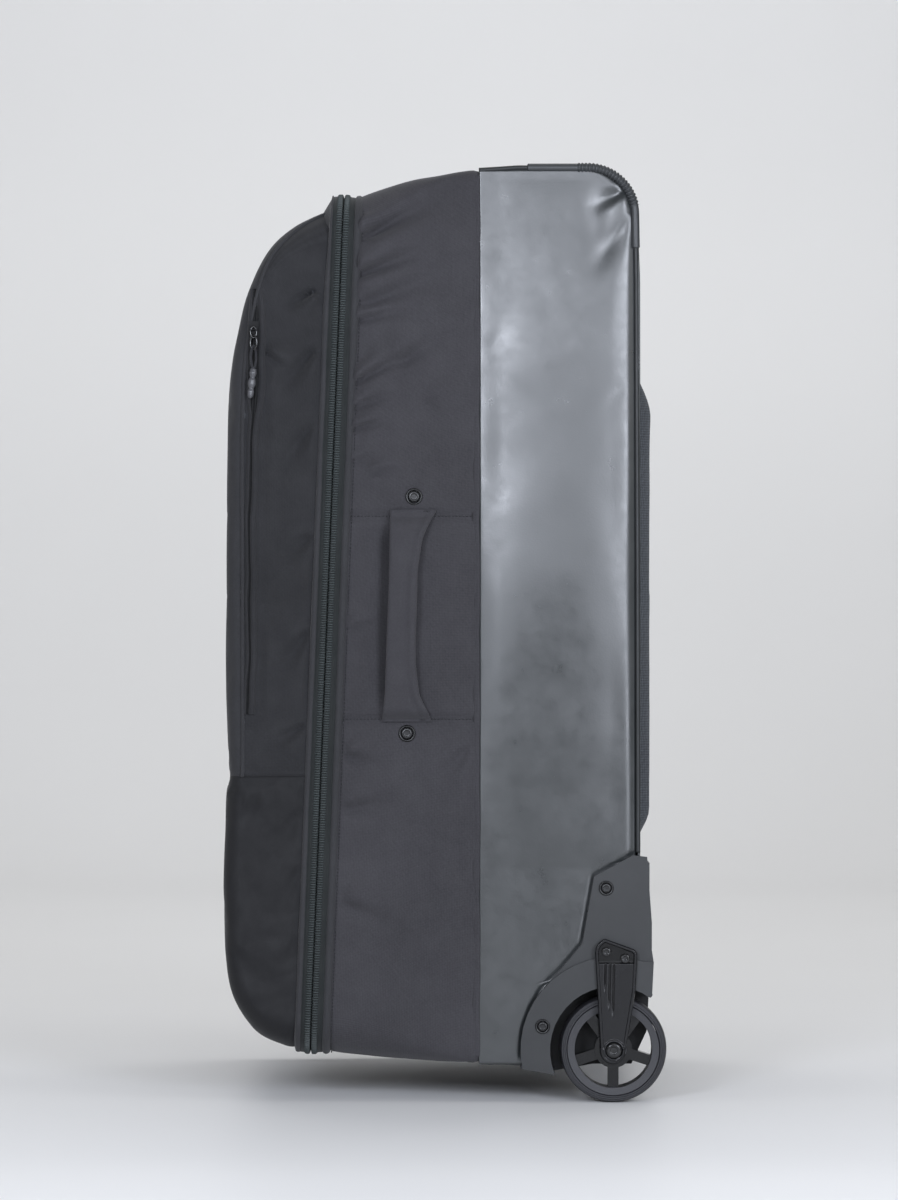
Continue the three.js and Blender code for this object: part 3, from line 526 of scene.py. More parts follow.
def stage():
    distance, frame_height = 3.76, 1.02
    cam = bpy.data.cameras.new("camera")
    cam.sensor_width = 36
    cam.lens = 36 * distance / frame_height
    eye = bpy.data.objects.new("camera", cam)
    eye.location = (HALF + distance, 0.0017, 0.4273)
    eye.rotation_euler = (math.radians(90), 0, math.radians(90))
    bpy.context.scene.collection.objects.link(eye)
    bpy.context.scene.camera = eye

    # A floor that sweeps up into a backdrop behind the bag.
    sweep_r, back, near, wide, tall = 1.5, -2.6, 6.0, 5.0, 5.0
    a = np.linspace(0, np.pi / 2, 24)
    line = [(near, 0)] + [(back - sweep_r * np.sin(t), sweep_r * (1 - np.cos(t))) for t in a]
    line.append((back - sweep_r, tall))
    rows = [[(x, s * wide, z) for s in (-1, 1)] for x, z in line]
    floor = grid("floor_sweep", rows)
    mat, tree, bsdf = nodes_of("pale_floor")
    t = Tree(tree)
    place = t.node("TexCoord").outputs["Object"]
    tone = t.mix(t.noise(place, 3, 3), (0.73, 0.73, 0.73, 1), (0.75, 0.75, 0.75, 1))
    t.link(tone, bsdf.inputs["Base Color"])
    bsdf.inputs["Roughness"].default_value = 0.5
    floor.data.materials.append(mat)

    world = bpy.data.worlds.new("studio")
    world.use_nodes = True
    world.node_tree.nodes["Background"].inputs[0].default_value = (1, 1, 1, 1)
    world.node_tree.nodes["Background"].inputs[1].default_value = 0.14
    bpy.context.scene.world = world

    def softbox(name, place, target, size, power, colour=(1, 1, 1)):
        data = bpy.data.lights.new(name, "AREA")
        data.shape = "RECTANGLE"
        data.size, data.size_y = size
        data.energy = power
        data.color = colour
        light = bpy.data.objects.new(name, data)
        light.location = place
        light.rotation_euler = (Vector(target) - Vector(place)).to_track_quat("-Z", "Y").to_euler()
        bpy.context.scene.collection.objects.link(light)

    cool = (0.90, 0.95, 1.06)
    softbox("front", (2.7, 0.1, 0.96), (0.1, 0.1, 0.55), (1.0, 0.62), 15, cool)
    softbox("right", (2.6, 1.30, 0.85), (0.1, 0.1, 0.50), (0.8, 1.2), 45, cool)
    softbox("left", (2.7, -0.85, 1.00), (0.1, 0.0, 0.60), (0.6, 0.7), 38, cool)
    softbox("rear", (1.4, 2.4, 1.5), (0.1, 0.1, 0.45), (1.2, 1.4), 12)
    softbox("nose", (1.2, -2.6, 1.2), (0, -0.1, 0.45), (0.9, 1.4), 7)
    softbox("top", (0.0, 0, 3.2), (0.0, 0, 0), (2.5, 2.5), 25)
    softbox("backdrop", (-1.4, 0, 3.6), (-3.6, 0, 1.0), (4.0, 1.0), 74)
    bpy.context.scene.view_settings.view_transform = "Standard"


# ---- Folds ----


def smooth(x):
    x = np.clip(x, 0, 1)
    return x * x * (3 - 2 * x)


def fold(y, z, start, end, width, height):
    """A soft crease: a ridge with a sharper hollow under it, fading out towards both ends."""
    a, b = np.array(start, float), np.array(end, float)
    d = b - a
    length = np.linalg.norm(d)
    d /= length
    along = (y - a[0]) * d[0] + (z - a[1]) * d[1]
    across = -(y - a[0]) * d[1] + (z - a[1]) * d[0]
    s = along / length
    fade = smooth(s / 0.2 + 0.5) * np.clip(1.1 - s, 0, 1) ** 1.4
    fade = np.where((s > -0.1) & (s < 1.1), fade, 0)
    w = width * (0.55 + 1.3 * np.clip(s, 0, 1))
    ridge = np.exp(-(((across - 1.3 * w) / (1.4 * w)) ** 2))
    hollow = np.exp(-(((across + 0.25 * w) / (0.6 * w)) ** 2))
    return height * FOLD_HEIGHT * fade * (0.8 * ridge - 1.25 * hollow)


FOLD_HEIGHT = 2.4

GUSSET_FOLDS = [  # (start, end, width, height): they fan out from the zip
    ((-0.080, 0.665), (-0.030, 0.676), 0.0050, 0.0034),
    ((-0.080, 0.612), (-0.030, 0.640), 0.0048, 0.0036),
    ((-0.081, 0.591), (-0.046, 0.604), 0.0040, 0.0032),
    ((-0.082, 0.573), (-0.044, 0.583), 0.0036, 0.0032),
    ((-0.066, 0.536), (-0.036, 0.539), 0.0034, 0.0022),
    ((-0.082, 0.545), (-0.056, 0.552), 0.0034, 0.0018),
    ((-0.070, 0.738), (0.004, 0.784), 0.0130, 0.0064),
    ((-0.078, 0.704), (-0.006, 0.734), 0.0090, 0.0044),
    ((-0.072, 0.680), (0.014, 0.716), 0.0120, 0.0030),
    ((-0.040, 0.630), (0.012, 0.668), 0.0120, 0.0020),
    ((-0.020, 0.600), (0.020, 0.560), 0.0150, 0.0014),
    ((-0.085, 0.404), (-0.054, 0.408), 0.0040, 0.0018),
    ((-0.086, 0.296), (-0.050, 0.286), 0.0080, 0.0022),
    ((-0.088, 0.250), (-0.030, 0.262), 0.0100, 0.0018),
    ((-0.088, 0.170), (-0.030, 0.150), 0.0120, 0.0018),
    ((0.020, 0.300), (-0.030, 0.240), 0.0130, 0.0018),
]
LID_FOLDS = [
    ((-0.112, 0.690), (-0.140, 0.672), 0.0046, 0.0036),
    ((-0.112, 0.640), (-0.150, 0.590), 0.0090, 0.0034),
    ((-0.156, 0.640), (-0.134, 0.622), 0.0040, 0.0030),
    ((-0.114, 0.575), (-0.150, 0.520), 0.0100, 0.0024),
    ((-0.114, 0.480), (-0.152, 0.450), 0.0110, 0.0022),
    ((-0.116, 0.400), (-0.152, 0.346), 0.0100, 0.0026),
    ((-0.120, 0.320), (-0.156, 0.296), 0.0070, 0.0022),
]
POCKET_FOLDS = [
    ((-0.124, 0.246), (-0.160, 0.180), 0.0130, 0.0009),
    ((-0.124, 0.196), (-0.152, 0.132), 0.0120, 0.0009),
    ((-0.126, 0.140), (-0.144, 0.086), 0.0100, 0.0009),
    ((-0.160, 0.262), (-0.178, 0.206), 0.0100, 0.0007),
    ((-0.178, 0.130), (-0.150, 0.096), 0.0100, 0.0007),
]


TARP_FOLDS = [
    ((0.158, 0.752), (0.128, 0.700), 0.0100, 0.0011),
    ((0.154, 0.776), (0.120, 0.756), 0.0080, 0.0013),
    ((0.032, 0.640), (0.060, 0.700), 0.0180, 0.0002),
    ((0.156, 0.610), (0.120, 0.560), 0.0160, 0.0002),
]


def apply_folds(co, folds, side=1):
    y, z = co[:, 1], co[:, 2]
    return sum(fold(y, z, *f) for f in folds) if side > 0 else sum(
        fold(y, z, (a[0], a[1] - 0.03), (b[0], b[1] - 0.02), w, h) for a, b, w, h in folds
    )


def low_noise(co, scale, seed=0.0):
    return np.array([noise.noise(Vector(p) * scale + Vector((seed, 0, 0))) for p in co])


# ---- Body fabric ----


def rounded_ring(half, low, high, r, counts=(230, 8, 40)):
    """Points round a rounded rectangle in (x, z), starting at the right side's foot, anticlockwise."""
    tall, bend, wide = counts
    arc = lambda cx, cz, a0: [
        (
            cx + r * math.cos(a0 + k * math.pi / 2 / bend), cz + r * math.sin(a0 + k * math.pi / 2 / bend),
        ) for k in range(bend)
    ]
    line = lambda a, b, n: [(a[0] + (b[0] - a[0]) * k / n, a[1] + (b[1] - a[1]) * k / n) for k in range(n)]
    out = line((half, low + r), (half, high - r), tall)
    out += arc(half - r, high - r, 0)
    out += line((half - r, high), (-half + r, high), wide)
    out += arc(-half + r, high - r, math.pi / 2)
    out += line((-half, high - r), (-half, low + r), tall)
    out += arc(-half + r, low + r, math.pi)
    out += line((-half + r, low), (half - r, low), wide)
    out += arc(half - r, low + r, 3 * math.pi / 2)
    return np.array(out)


def gusset():
    """The woven band between the zipped seam and the coated rear, its edge folded over the zip's tape."""
    inset, edge = 0.6 * MM, 0.083
    steps = np.r_[0, 0.04, 0.072, 0.080, edge, 0.087, 0.093, 0.102, 0.115, np.linspace(0.13, 1, 44)]
    out = []
    for t in steps:
        near = smooth((t - 0.12) / 0.88)
        low = SEAM_LOW + (0.0338 - SEAM_LOW) * t
        high = SEAM_HIGH + (0.7925 - SEAM_HIGH) * (t + 0.12 * math.sin(math.pi * t))
        r = CORNER_R + (0.007 - CORNER_R) * near
        ring = rounded_ring(HALF - inset, low + inset, high - inset, r)
        y = (seam_y(ring[:, 1]) + 0.8 * MM) * (1 - t) + (TARP_Y + 0.5 * MM) * t
        out.append(np.stack([ring[:, 0], y, ring[:, 1]], 1))
    points = np.array(out)
    cols = points.shape[1]
    obj = grid("gusset_fabric", points, cyclic=True, flip=True)
    co, n = coords(obj), normals(obj)
    t = np.repeat(steps, cols)
    out_of_tape = smooth((t - 0.080) / 0.008)
    swell = np.sin(np.pi * np.clip((t - edge) / (1 - edge), 0, 1)) ** 0.7
    move = 1.5 * MM * out_of_tape * smooth(
        (1 - t) / 0.05
    ) + 1.6 * MM * swell + 1.4 * MM * swell * low_noise(co, 8)
    move -= 0.6 * MM * np.exp(-(((t - 0.108) / 0.008) ** 2))
    set_coords(obj, co + n * move[:, None])
    pinned = np.where((t < 0.12) | (t == 1))[0]
    drape(obj, pinned, pressure=0.4, swell=0.002, cap=0.0022)
    sides = np.abs(co[:, 0]) > HALF - 0.002
    right, left = apply_folds(co, GUSSET_FOLDS), apply_folds(co, GUSSET_FOLDS, -1)
    crease = np.where(co[:, 0] > 0, right, left) * smooth((t - 0.10) / 0.04) * smooth((1 - t) / 0.1)
    for z in HANDLE_SEAMS:
        crease -= 2.6 * MM * np.exp(-(((co[:, 2] - z) / 0.0030) ** 2)) * out_of_tape
        crease += 1.3 * MM * np.exp(-(((co[:, 2] - z - 0.007) / 0.0050) ** 2)) * out_of_tape * swell
    hollow = np.exp(
        -(((co[:, 1] + 0.048) / 0.0085) ** 2)
    ) * smooth((co[:, 2] - 0.332) / 0.02) * smooth((0.494 - co[:, 2]) / 0.02)
    crease -= 6.5 * MM * hollow * (co[:, 0] > 0)
    set_coords(obj, coords(obj) + n * (crease * sides)[:, None])
    nodes = ("gusset_right", "gusset_left", "top_panel_front", "bottom_panel")
    finish_piece(obj, "woven", "woven", "bag", *nodes)
    thicken(obj, 1.6 * MM, M["lining"])
    return obj


def tarp_bulge(y, z):
    """How far the coated sides stand out: fullest above the middle, flat at the edges and by the chassis."""
    s = np.clip((y - TARP_Y) / (BACK_Y - TARP_Y), 0, 1)
    h = np.clip((z - 0.20) / (0.785 - 0.20), 0, 1)
    across = np.sin(np.pi * s) ** 0.8
    up = np.sin(np.pi * h**0.9) ** 0.9
    dent = np.exp(-(((y - 0.137) / 0.016) ** 2) - (((z - 0.755) / 0.034) ** 2))
    return 7.0 * MM * across * up - 3.0 * MM * dent * across**0.3


HOUSING_EDGE = np.array([  # the moulded side plate's edge, (y, z), from its top to the floor
    (170, 209), (158, 210.5), (125, 192.5), (115, 135.5), (97, 114), (80.5, 97), (71, 80), (65, 62),
    (63, 40), (92, 24),
]) * MM


def tarp_back(z):
    """Where the coated side ends at the rear: round the top corner, and behind the wheel's arch."""
    cy, cz, r = EDGE_CORNER
    arch = 58.5 * MM
    if z > cz:
        return cy + math.sqrt(max((r - 1.2 * MM) ** 2 - (z - cz) ** 2, 0))
    if z < WHEEL.z + arch:
        return WHEEL.y - math.sqrt(arch**2 - (z - WHEEL.z) ** 2)
    if z < 0.205:
        return WHEEL.y + 12.6 * MM * float(smooth((z - WHEEL.z - arch) / 0.06))
    return BACK_Y - 1.2 * MM


def tarp_sides():
    """The coated sides: softly bulging, dented under the corner guard and tucked in along the housing."""
    for name, side in (("right", 1), ("left", -1)):
        rows, cols = 330, 76
        out = []
        for z in np.linspace(0.0322, TOP_Z - 1.3 * MM, rows):
            back = tarp_back(z)
            top = TOP_Z - 1.3 * MM
            y = np.linspace(TARP_Y + 0.2 * MM, back, cols)
            zz = np.minimum(z, top - 2.2 * MM * np.clip((0.060 - y) / 0.033, 0, 1))
            x = HALF - 0.6 * MM + tarp_bulge(y, z)
            x -= 2.4 * MM * np.exp(-(((back - y) / 0.0045) ** 2)) * (z > 0.205)
            out.append(np.stack([x * side, y, zz], 1))
        obj = grid(f"tarp_side_skin_{name}", out, flip=side < 0)
        co, n = coords(obj), normals(obj)
        s = np.clip((co[:, 1] - TARP_Y) / 0.02, 0, 1) * np.clip((0.158 - co[:, 1]) / 0.02, 0, 1)
        soft = low_noise(co, 7, 3.0 + side) * 2.0 * MM + low_noise(co, 19, 5.0) * 0.5 * MM
        soft += low_noise(co * (1, 1, 0.5), 42, 8.0) * 0.16 * MM
        creases = apply_folds(co, TARP_FOLDS, side)
        move = (soft + creases) * smooth(s) * smooth((co[:, 2] - 0.18) / 0.1)
        low = np.where(co[:, 2] < 0.24)[0]
        gap = outline_distance(co[low][:, 1:], HOUSING_EDGE, closed=False)
        move[low] -= 1.3 * MM * np.exp(-((gap / 0.0024) ** 2))
        set_coords(obj, co + n * move[:, None])
        finish_piece(obj, "tarp", "tarp", "bag", f"tarp_side_{name}")
        thicken(obj, 1.2 * MM, M["lining"])


def top_and_back():
    """The coated top, running over the rear corner and down the back between the two piped edges."""
    cy, cz, r = EDGE_CORNER
    line = [(TARP_Y + 0.2 * MM, TOP_Z - 2.2 * MM), (0.060, TOP_Z - 0.3 * MM), (cy, TOP_Z)]
    line += [(cy + r * math.sin(a), cz + r * math.cos(a)) for a in np.linspace(0.1, math.pi / 2, 14)]
    line += [(BACK_Y, 0.70), (BACK_Y, 0.113)]
    line = resample(line, 120)
    cols = 60
    out = []
    for y, z in line:
        x = np.linspace(-1, 1, cols) * (HALF - 3.2 * MM)
        out.append(np.stack([x, np.full(cols, y), np.full(cols, z)], 1))
    obj = grid("top_back_skin", out, flip=True)
    co, n = coords(obj), normals(obj)
    s = np.abs(co[:, 0]) / HALF
    crown = 2.0 * MM * (1 - s**4) * smooth((co[:, 2] - 0.62) / 0.1)
    set_coords(obj, co + n * (crown + low_noise(co, 8, 9.0) * 0.8 * MM * (1 - s**6))[:, None])
    finish_piece(obj, "tarp", "tarp", "bag", "top_panel_rear", "back_panel")
    thicken(obj, 2.4 * MM, M["lining"])

    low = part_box("back_panel")[0].z
    half = 0.153
    rows = [[(x, BACK_Y, z) for x in np.linspace(-half, half, 30)] for z in np.linspace(low, 0.115, 8)]
    foot = grid("back_foot_skin", rows, flip=False)
    finish_piece(foot, "tarp", "tarp", "bag")
    thicken(foot, 2.4 * MM, M["lining"])

    rows = [
        [
            (x, y, 0.0338 + (y - TARP_Y) * (0.0315 - 0.0338) / 0.036)
            for x in np.linspace(-HALF + 0.001, HALF - 0.001, 50)
        ]
        for y in np.linspace(TARP_Y, 0.066, 8)
    ]
    floor = grid("floor_rear_skin", rows, flip=True)
    finish_piece(floor, "woven", "woven", "bag")
    thicken(floor, 2.4 * MM, M["lining"])


def back_pad():
    low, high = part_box("back_pad")
    rows, cols = 70, 46
    u, v = np.meshgrid(np.linspace(-1, 1, cols), np.linspace(0, 1, rows))
    half = (high.x - low.x) / 2
    taper = 1 - 0.05 * (1 - smooth(v / 0.12)) - 0.05 * smooth((v - 0.9) / 0.1)
    x = u * half * taper
    z = low.z + v * (high.z - low.z)
    edge = np.minimum(1 - np.abs(u), 1) * 6.5
    rise = smooth(np.clip(edge, 0, 1)) * smooth(v / 0.10) * smooth((1 - v) / 0.12)
    channels = sum(
        np.exp(-(((u - c) / 0.028) ** 2))
        for c in (-0.36, 0.36)
    ) * smooth((v - 0.08) / 0.05) * smooth((0.92 - v) / 0.05)
    depth = high.y - low.y
    y = BACK_Y + 0.4 * MM + (depth - 0.5 * MM) * rise * (1 - 0.42 * channels)
    obj = grid("back_pad_cover", np.stack([x, y, z], -1), flip=False)
    drape(obj, edge_ids(rows, cols), pressure=1.5, swell=0.006, cap=0.0018)
    finish_piece(obj, "pad", "foam", "bag", "back_pad")
    border = np.concatenate([
        np.stack([x[0], y[0], z[0]], 1), np.stack([x[:, -1], y[:, -1], z[:, -1]], 1)[1:],
        np.stack([x[-1], y[-1], z[-1]], 1)[::-1][1:], np.stack([x[:, 0], y[:, 0], z[:, 0]], 1)[::-1][1:-1],
    ])
    binding = tube("back_pad_binding", resample(np.r_[border, border[:1]], 320), 2.2 * MM, 8, False)
    co = coords(binding)
    co[:, 1] += 0.8 * MM
    set_coords(binding, co)
    finish_piece(binding, "webbing", "webbing", "bag")


# ---- Piping and corner guards ----


def edge_line(x, start, end, out=0.0):
    """The rod's line along the top edge, over the corner and down the back edge, in metres."""
    cy, cz, r = EDGE_CORNER
    line = [
        (TARP_Y + 1 * MM, TOP_Z - 2.2 * MM + out), (0.060, TOP_Z + out), (0.090, TOP_Z + out),
        (cy, TOP_Z + out),
    ]
    line += [
        (cy + (r + out) * math.sin(a), cz + (r + out) * math.cos(a))
        for a in np.linspace(0.05, math.pi / 2, 40)
    ]
    line += [(BACK_Y - 1 * MM + out, 0.70), (BACK_Y + out, 0.45), (BACK_Y + 0.5 * MM + out, 0.213)]
    line = resample(line, 1200)
    length = np.r_[0, np.cumsum(np.linalg.norm(np.diff(line, axis=0), axis=1))]
    keep = (length >= start) & (length <= length[-1] - end)
    line = line[keep]
    return np.stack([np.full(len(line), x), line[:, 0], line[:, 1]], 1)


def piping():
    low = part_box("corner_guard_right")[0]
    for name, side in (("right", 1), ("left", -1)):
        pipe = tube(f"piping_{name}", resample(edge_line(side * ROD_X, 0, 0), 420), 2.0 * MM, 14)
        finish_piece(pipe, "piping", "plastic", "bag", f"frame_rod_{name}")
        sleeve = edge_line(side * ROD_X, 0, 0)
        sleeve = sleeve[(sleeve[:, 2] > low.z) & (sleeve[:, 1] > low.y)]
        line = resample(sleeve, 520)
        s = np.r_[0, np.cumsum(np.linalg.norm(np.diff(line, axis=0), axis=1))]
        total = s[-1]
        rib_start, rib_end, pitch = 0.040, total - 0.034, 3.0 * MM
        ribbed = smooth((s - rib_start) / 0.003) * smooth((rib_end - s) / 0.003)
        wave = 0.5 + 0.5 * np.cos(2 * np.pi * (s - rib_start) / pitch)
        radius = 3.5 * MM + ribbed * (1.0 * MM * wave**0.6 - 0.3 * MM)
        guard = tube(f"corner_guard_sleeve_{name}", line, radius, 20)
        finish_piece(guard, "guard", "rubber", "bag", f"corner_guard_{name}")


# ---- Zips ----


CORNER_REACH = 0.8  # how far the zip turns into the corners at its ends, in radians


def band_line(out, count=1500):
    """The zip's line round the opening in the seam's plane: (x, up) points and their outward normals."""
    half, high, r = HALF + out, ZIP_HALF_HEIGHT + out, CORNER_R
    a = np.linspace(0, math.pi / 2, 24)
    t = np.linspace(0, CORNER_REACH, 12)[1:]
    right = [(half - r + r * math.sin(k), -high + r - r * math.cos(k)) for k in a]
    right += [(half - r + r * math.cos(k), high - r + r * math.sin(k)) for k in a]
    top_end = [(-half + r - r * math.sin(k), high - r + r * math.cos(k)) for k in t]
    bottom_end = [(x, -z) for x, z in top_end[::-1]]
    line = resample(bottom_end + [(-half + r, -high)] + right + [(-half + r, high)] + top_end, count)
    d = np.gradient(line, axis=0)
    d /= np.linalg.norm(d, axis=1, keepdims=True)
    return line, np.stack([d[:, 1], -d[:, 0]], 1)


def in_seam(x, out, up):
    """Points from seam-plane coordinates: across, along its normal, and up it."""
    return np.stack(
        [x, SEAM_Y + out * SEAM_OUT.y + up * SEAM_UP.y, SEAM_Z + out * SEAM_OUT.z + up * SEAM_UP.z], -1,
    )


def lengths(line):
    """The distance along a line to each of its points."""
    return np.r_[0, np.cumsum(np.linalg.norm(np.diff(line, axis=0), axis=1))]


def seam_band(profile, count=900, ripple=None, shape=None):
    """A band along the zip from (distance from the seam's plane, height) pairs, tucked in at its ends."""
    line, normal = band_line(0.3 * MM, count)
    along = lengths(line)
    tuck = 1 - smooth(np.minimum(along, along[-1] - along) / 0.012)
    cols = []
    for v, h in profile:
        across, height = shape(v, h, line[:, 1]) if shape else (v, h)
        lift = height + (ripple(along, v) if ripple else 0)
        p = line + normal * (lift * (1 - tuck) - 2.5 * MM * tuck)[:, None]
        cols.append(in_seam(p[:, 0], np.broadcast_to(across, len(p)), p[:, 1]))
    return np.stack(cols, 1)


def zips():
    """Two tapes with a ribbed coil each, a rounded welt on the body's side and a narrow fold on the lid's."""
    for name, sign, body in (("body", 1, "bag"), ("lid", -1, "lid")):
        tape = [
            (0.7, 0.1), (0.7, 1.1), (5.6, 1.7), (6.2, 1.4), (8.0, 1.3), (8.4, 0.9), (8.9, 1.2), (10.0, 0.9),
            (10.4, -1.2),
        ]
        wobble = lambda s, v: 0.18 * MM * np.sin(s * 61 + sign) + 0.12 * MM * np.sin(s * 147)
        rows = seam_band([(sign * v * MM, h * MM) for v, h in tape], ripple=wobble)
        obj = grid(f"zip_tape_{name}_cloth", rows, flip=sign > 0)
        finish_piece(obj, "tape", "zip", body, f"zip_tape_{name}")
        thicken(obj, 0.5 * MM)

        coil = [(0.45, 0.6), (0.45, 2.0), (1.1, 2.8), (2.4, 3.0), (3.9, 2.9), (5.1, 2.4), (5.6, 1.3)]
        phase = 0 if sign > 0 else COIL_PITCH / 2
        beat = lambda s: np.clip(np.cos(2 * np.pi * (s - phase) / COIL_PITCH) * 1.5, -1, 1)
        tooth = lambda s, v: 0.7 * MM * beat(s) * (0.5 * MM < abs(v) < 5.4 * MM)
        rows = seam_band([(sign * v * MM, h * MM) for v, h in coil], 6400, ripple=tooth)
        obj = grid(
            f"zip_coil_{name}", rows, flip=sign > 0, along=lengths(band_line(0.3 * MM, 6400)[0]) - phase,
        )
        finish_piece(obj, "coil", "gloss_plastic", body, f"zip_chain_{name}")
        stitches(f"zip_stitching_{name}", seam_band([(sign * 8.4 * MM, 1.2 * MM)], 1400)[:, 0], body)

    crown = [
        (10.0, -0.4), (10.0, 1.2), (10.8, 2.5), (12.4, 3.2), (14.0, 3.1), (15.6, 2.2), (16.4, 0.8),
        (16.6, -1.0),
    ]
    wave = lambda s, v: 0.35 * MM * np.sin(s * 19) + 0.2 * MM * np.sin(s * 83 + 1)
    welt = grid("gusset_welt", seam_band([(v * MM, h * MM) for v, h in crown], 800, ripple=wave), flip=True)
    finish_piece(welt, "welt", "woven", "bag")
    stitches(
        "gusset_welt_stitching", seam_band([(17.6 * MM, 1.7 * MM)], 1400)[:, 0], "bag", 3.0 * MM, 0.35 * MM,
    )

    def lid_shape(v, h, up):
        """Slim beside the straight top, where the fold's foot runs down to the lid as a rounded shoulder."""
        slim = smooth((up - (SEAM_HIGH - SEAM_Z - 0.10)) / 0.1)
        foot = np.clip((-0.5 * MM - h) / (1.5 * MM), 0, 1)
        rounded = smooth((up - (ZIP_HALF_HEIGHT - 0.030)) / 0.020) * foot
        across = np.where(v < -9.2 * MM, -9.2 * MM + (v + 9.2 * MM) * (1 - 0.7 * slim), v)
        return across - 8 * MM * rounded, h - 13 * MM * rounded

    edge = [
        (-8.6, 0.4), (-8.8, 1.5), (-9.6, 2.3), (-11.2, 2.4), (-12.6, 1.8), (-13.3, 0.7), (-13.5, -0.5),
        (-13.6, -1.0), (-13.8, -1.5), (-14.0, -2.0),
    ]
    rows = seam_band([(v * MM, h * MM) for v, h in edge], 800, ripple=wave, shape=lid_shape)
    obj = grid("lid_folded_edge", rows)
    finish_piece(obj, "welt", "woven", "lid")


def hinge_strip():
    """The strip of cloth the lid turns on: sewn to both sides of the seam, and bending between them."""
    half, high, r = HALF + 0.3 * MM, ZIP_HALF_HEIGHT + 0.3 * MM, CORNER_R
    turn = np.linspace(CORNER_REACH - 0.05, math.pi / 2, 12)
    top = [(-half + r - r * math.sin(k), high - r + r * math.cos(k)) for k in turn]
    line = resample(top + [(x, -z) for x, z in top[::-1]], 420)
    d = np.gradient(line, axis=0)
    d /= np.linalg.norm(d, axis=1, keepdims=True)
    out = np.stack([d[:, 1], -d[:, 0]], 1)
    half_width = (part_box("lid_hinge_strip")[1].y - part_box("lid_hinge_strip")[0].y) / 4
    section = [(-1.0, -0.8), (-0.97, 0.3), (-0.85, 0.8)] + [(v, 1.0) for v in np.linspace(-0.7, 0.7, 15)]
    section += [(0.85, 0.8), (0.97, 0.3), (1.0, -0.8)]
    rows = []
    for v, h in section:
        p = line + out * h * MM
        rows.append(in_seam(p[:, 0], np.full(len(p), v * half_width), p[:, 1]))
    obj = grid("lid_hinge_cloth", np.stack(rows, 1))
    obj.data.materials.append(M["strip"])
    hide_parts("lid_hinge_strip")
    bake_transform(obj)


def stitches(name, line, body, pitch=3.2 * MM, radius=0.28 * MM):
    """A row of short thread runs along a line."""
    line = np.asarray(line, float)
    length = np.r_[0, np.cumsum(np.linalg.norm(np.diff(line, axis=0), axis=1))]
    count = int(length[-1] / pitch)
    at = lambda d: np.array([np.interp(d, length, line[:, k]) for k in range(3)])
    verts, faces = [], []
    for i in range(count):
        a, b = at((i + 0.12) * pitch), at((i + 0.80) * pitch)
        t = b - a
        t /= max(np.linalg.norm(t), 1e-9)
        side = np.cross(t, [0.577, 0.577, 0.577])
        side /= np.linalg.norm(side)
        up = np.cross(side, t)
        base = len(verts)
        for p, r in ((a, 0.4), (a + (b - a) * 0.2, 1), (a + (b - a) * 0.8, 1), (b, 0.4)):
            for k in range(5):
                ang = 2 * math.pi * k / 5
                verts.append(p + (side * math.cos(ang) + up * math.sin(ang)) * radius * r)
        for j in range(3):
            for k in range(5):
                q, s = base + j * 5 + k, base + j * 5 + (k + 1) % 5
                faces.append((q, s, s + 5, q + 5))
        faces.append(tuple(base + k for k in range(4, -1, -1)))
        faces.append(tuple(base + 15 + k for k in range(5)))
    mesh = bpy.data.meshes.new(name)
    mesh.from_pydata([tuple(v) for v in verts], [], faces)
    mesh.polygons.foreach_set("use_smooth", np.ones(len(faces), bool))
    mesh.uv_layers.new(name="UVMap")
    obj = bpy.data.objects.new(name, mesh)
    bpy.context.scene.collection.objects.link(obj)
    return finish_piece(obj, "thread", "webbing", body)


# ---- Lid fabric ----

STRIP = 12 * MM  # how far the front panel's edge turns back round the sides


def shoulder(s):
    """The front panel's edge radii at a share s of the lid's line: (across, back)."""
    end = 1 - smooth(np.minimum(s, 1 - s) / 0.14)
    return 0.016 + (CORNER_R - 0.016) * end, STRIP * 0.95 + (CORNER_R - STRIP * 0.95) * end


SEAM_COLUMN = 4  # which of the rounded edge's columns the piped seam follows
POCKET_ROW = int(np.argmin(np.abs(LID_LINE[:, 1] - POCKET_SEAM_Z) + (LID_LINE[:, 0] > -0.17)))


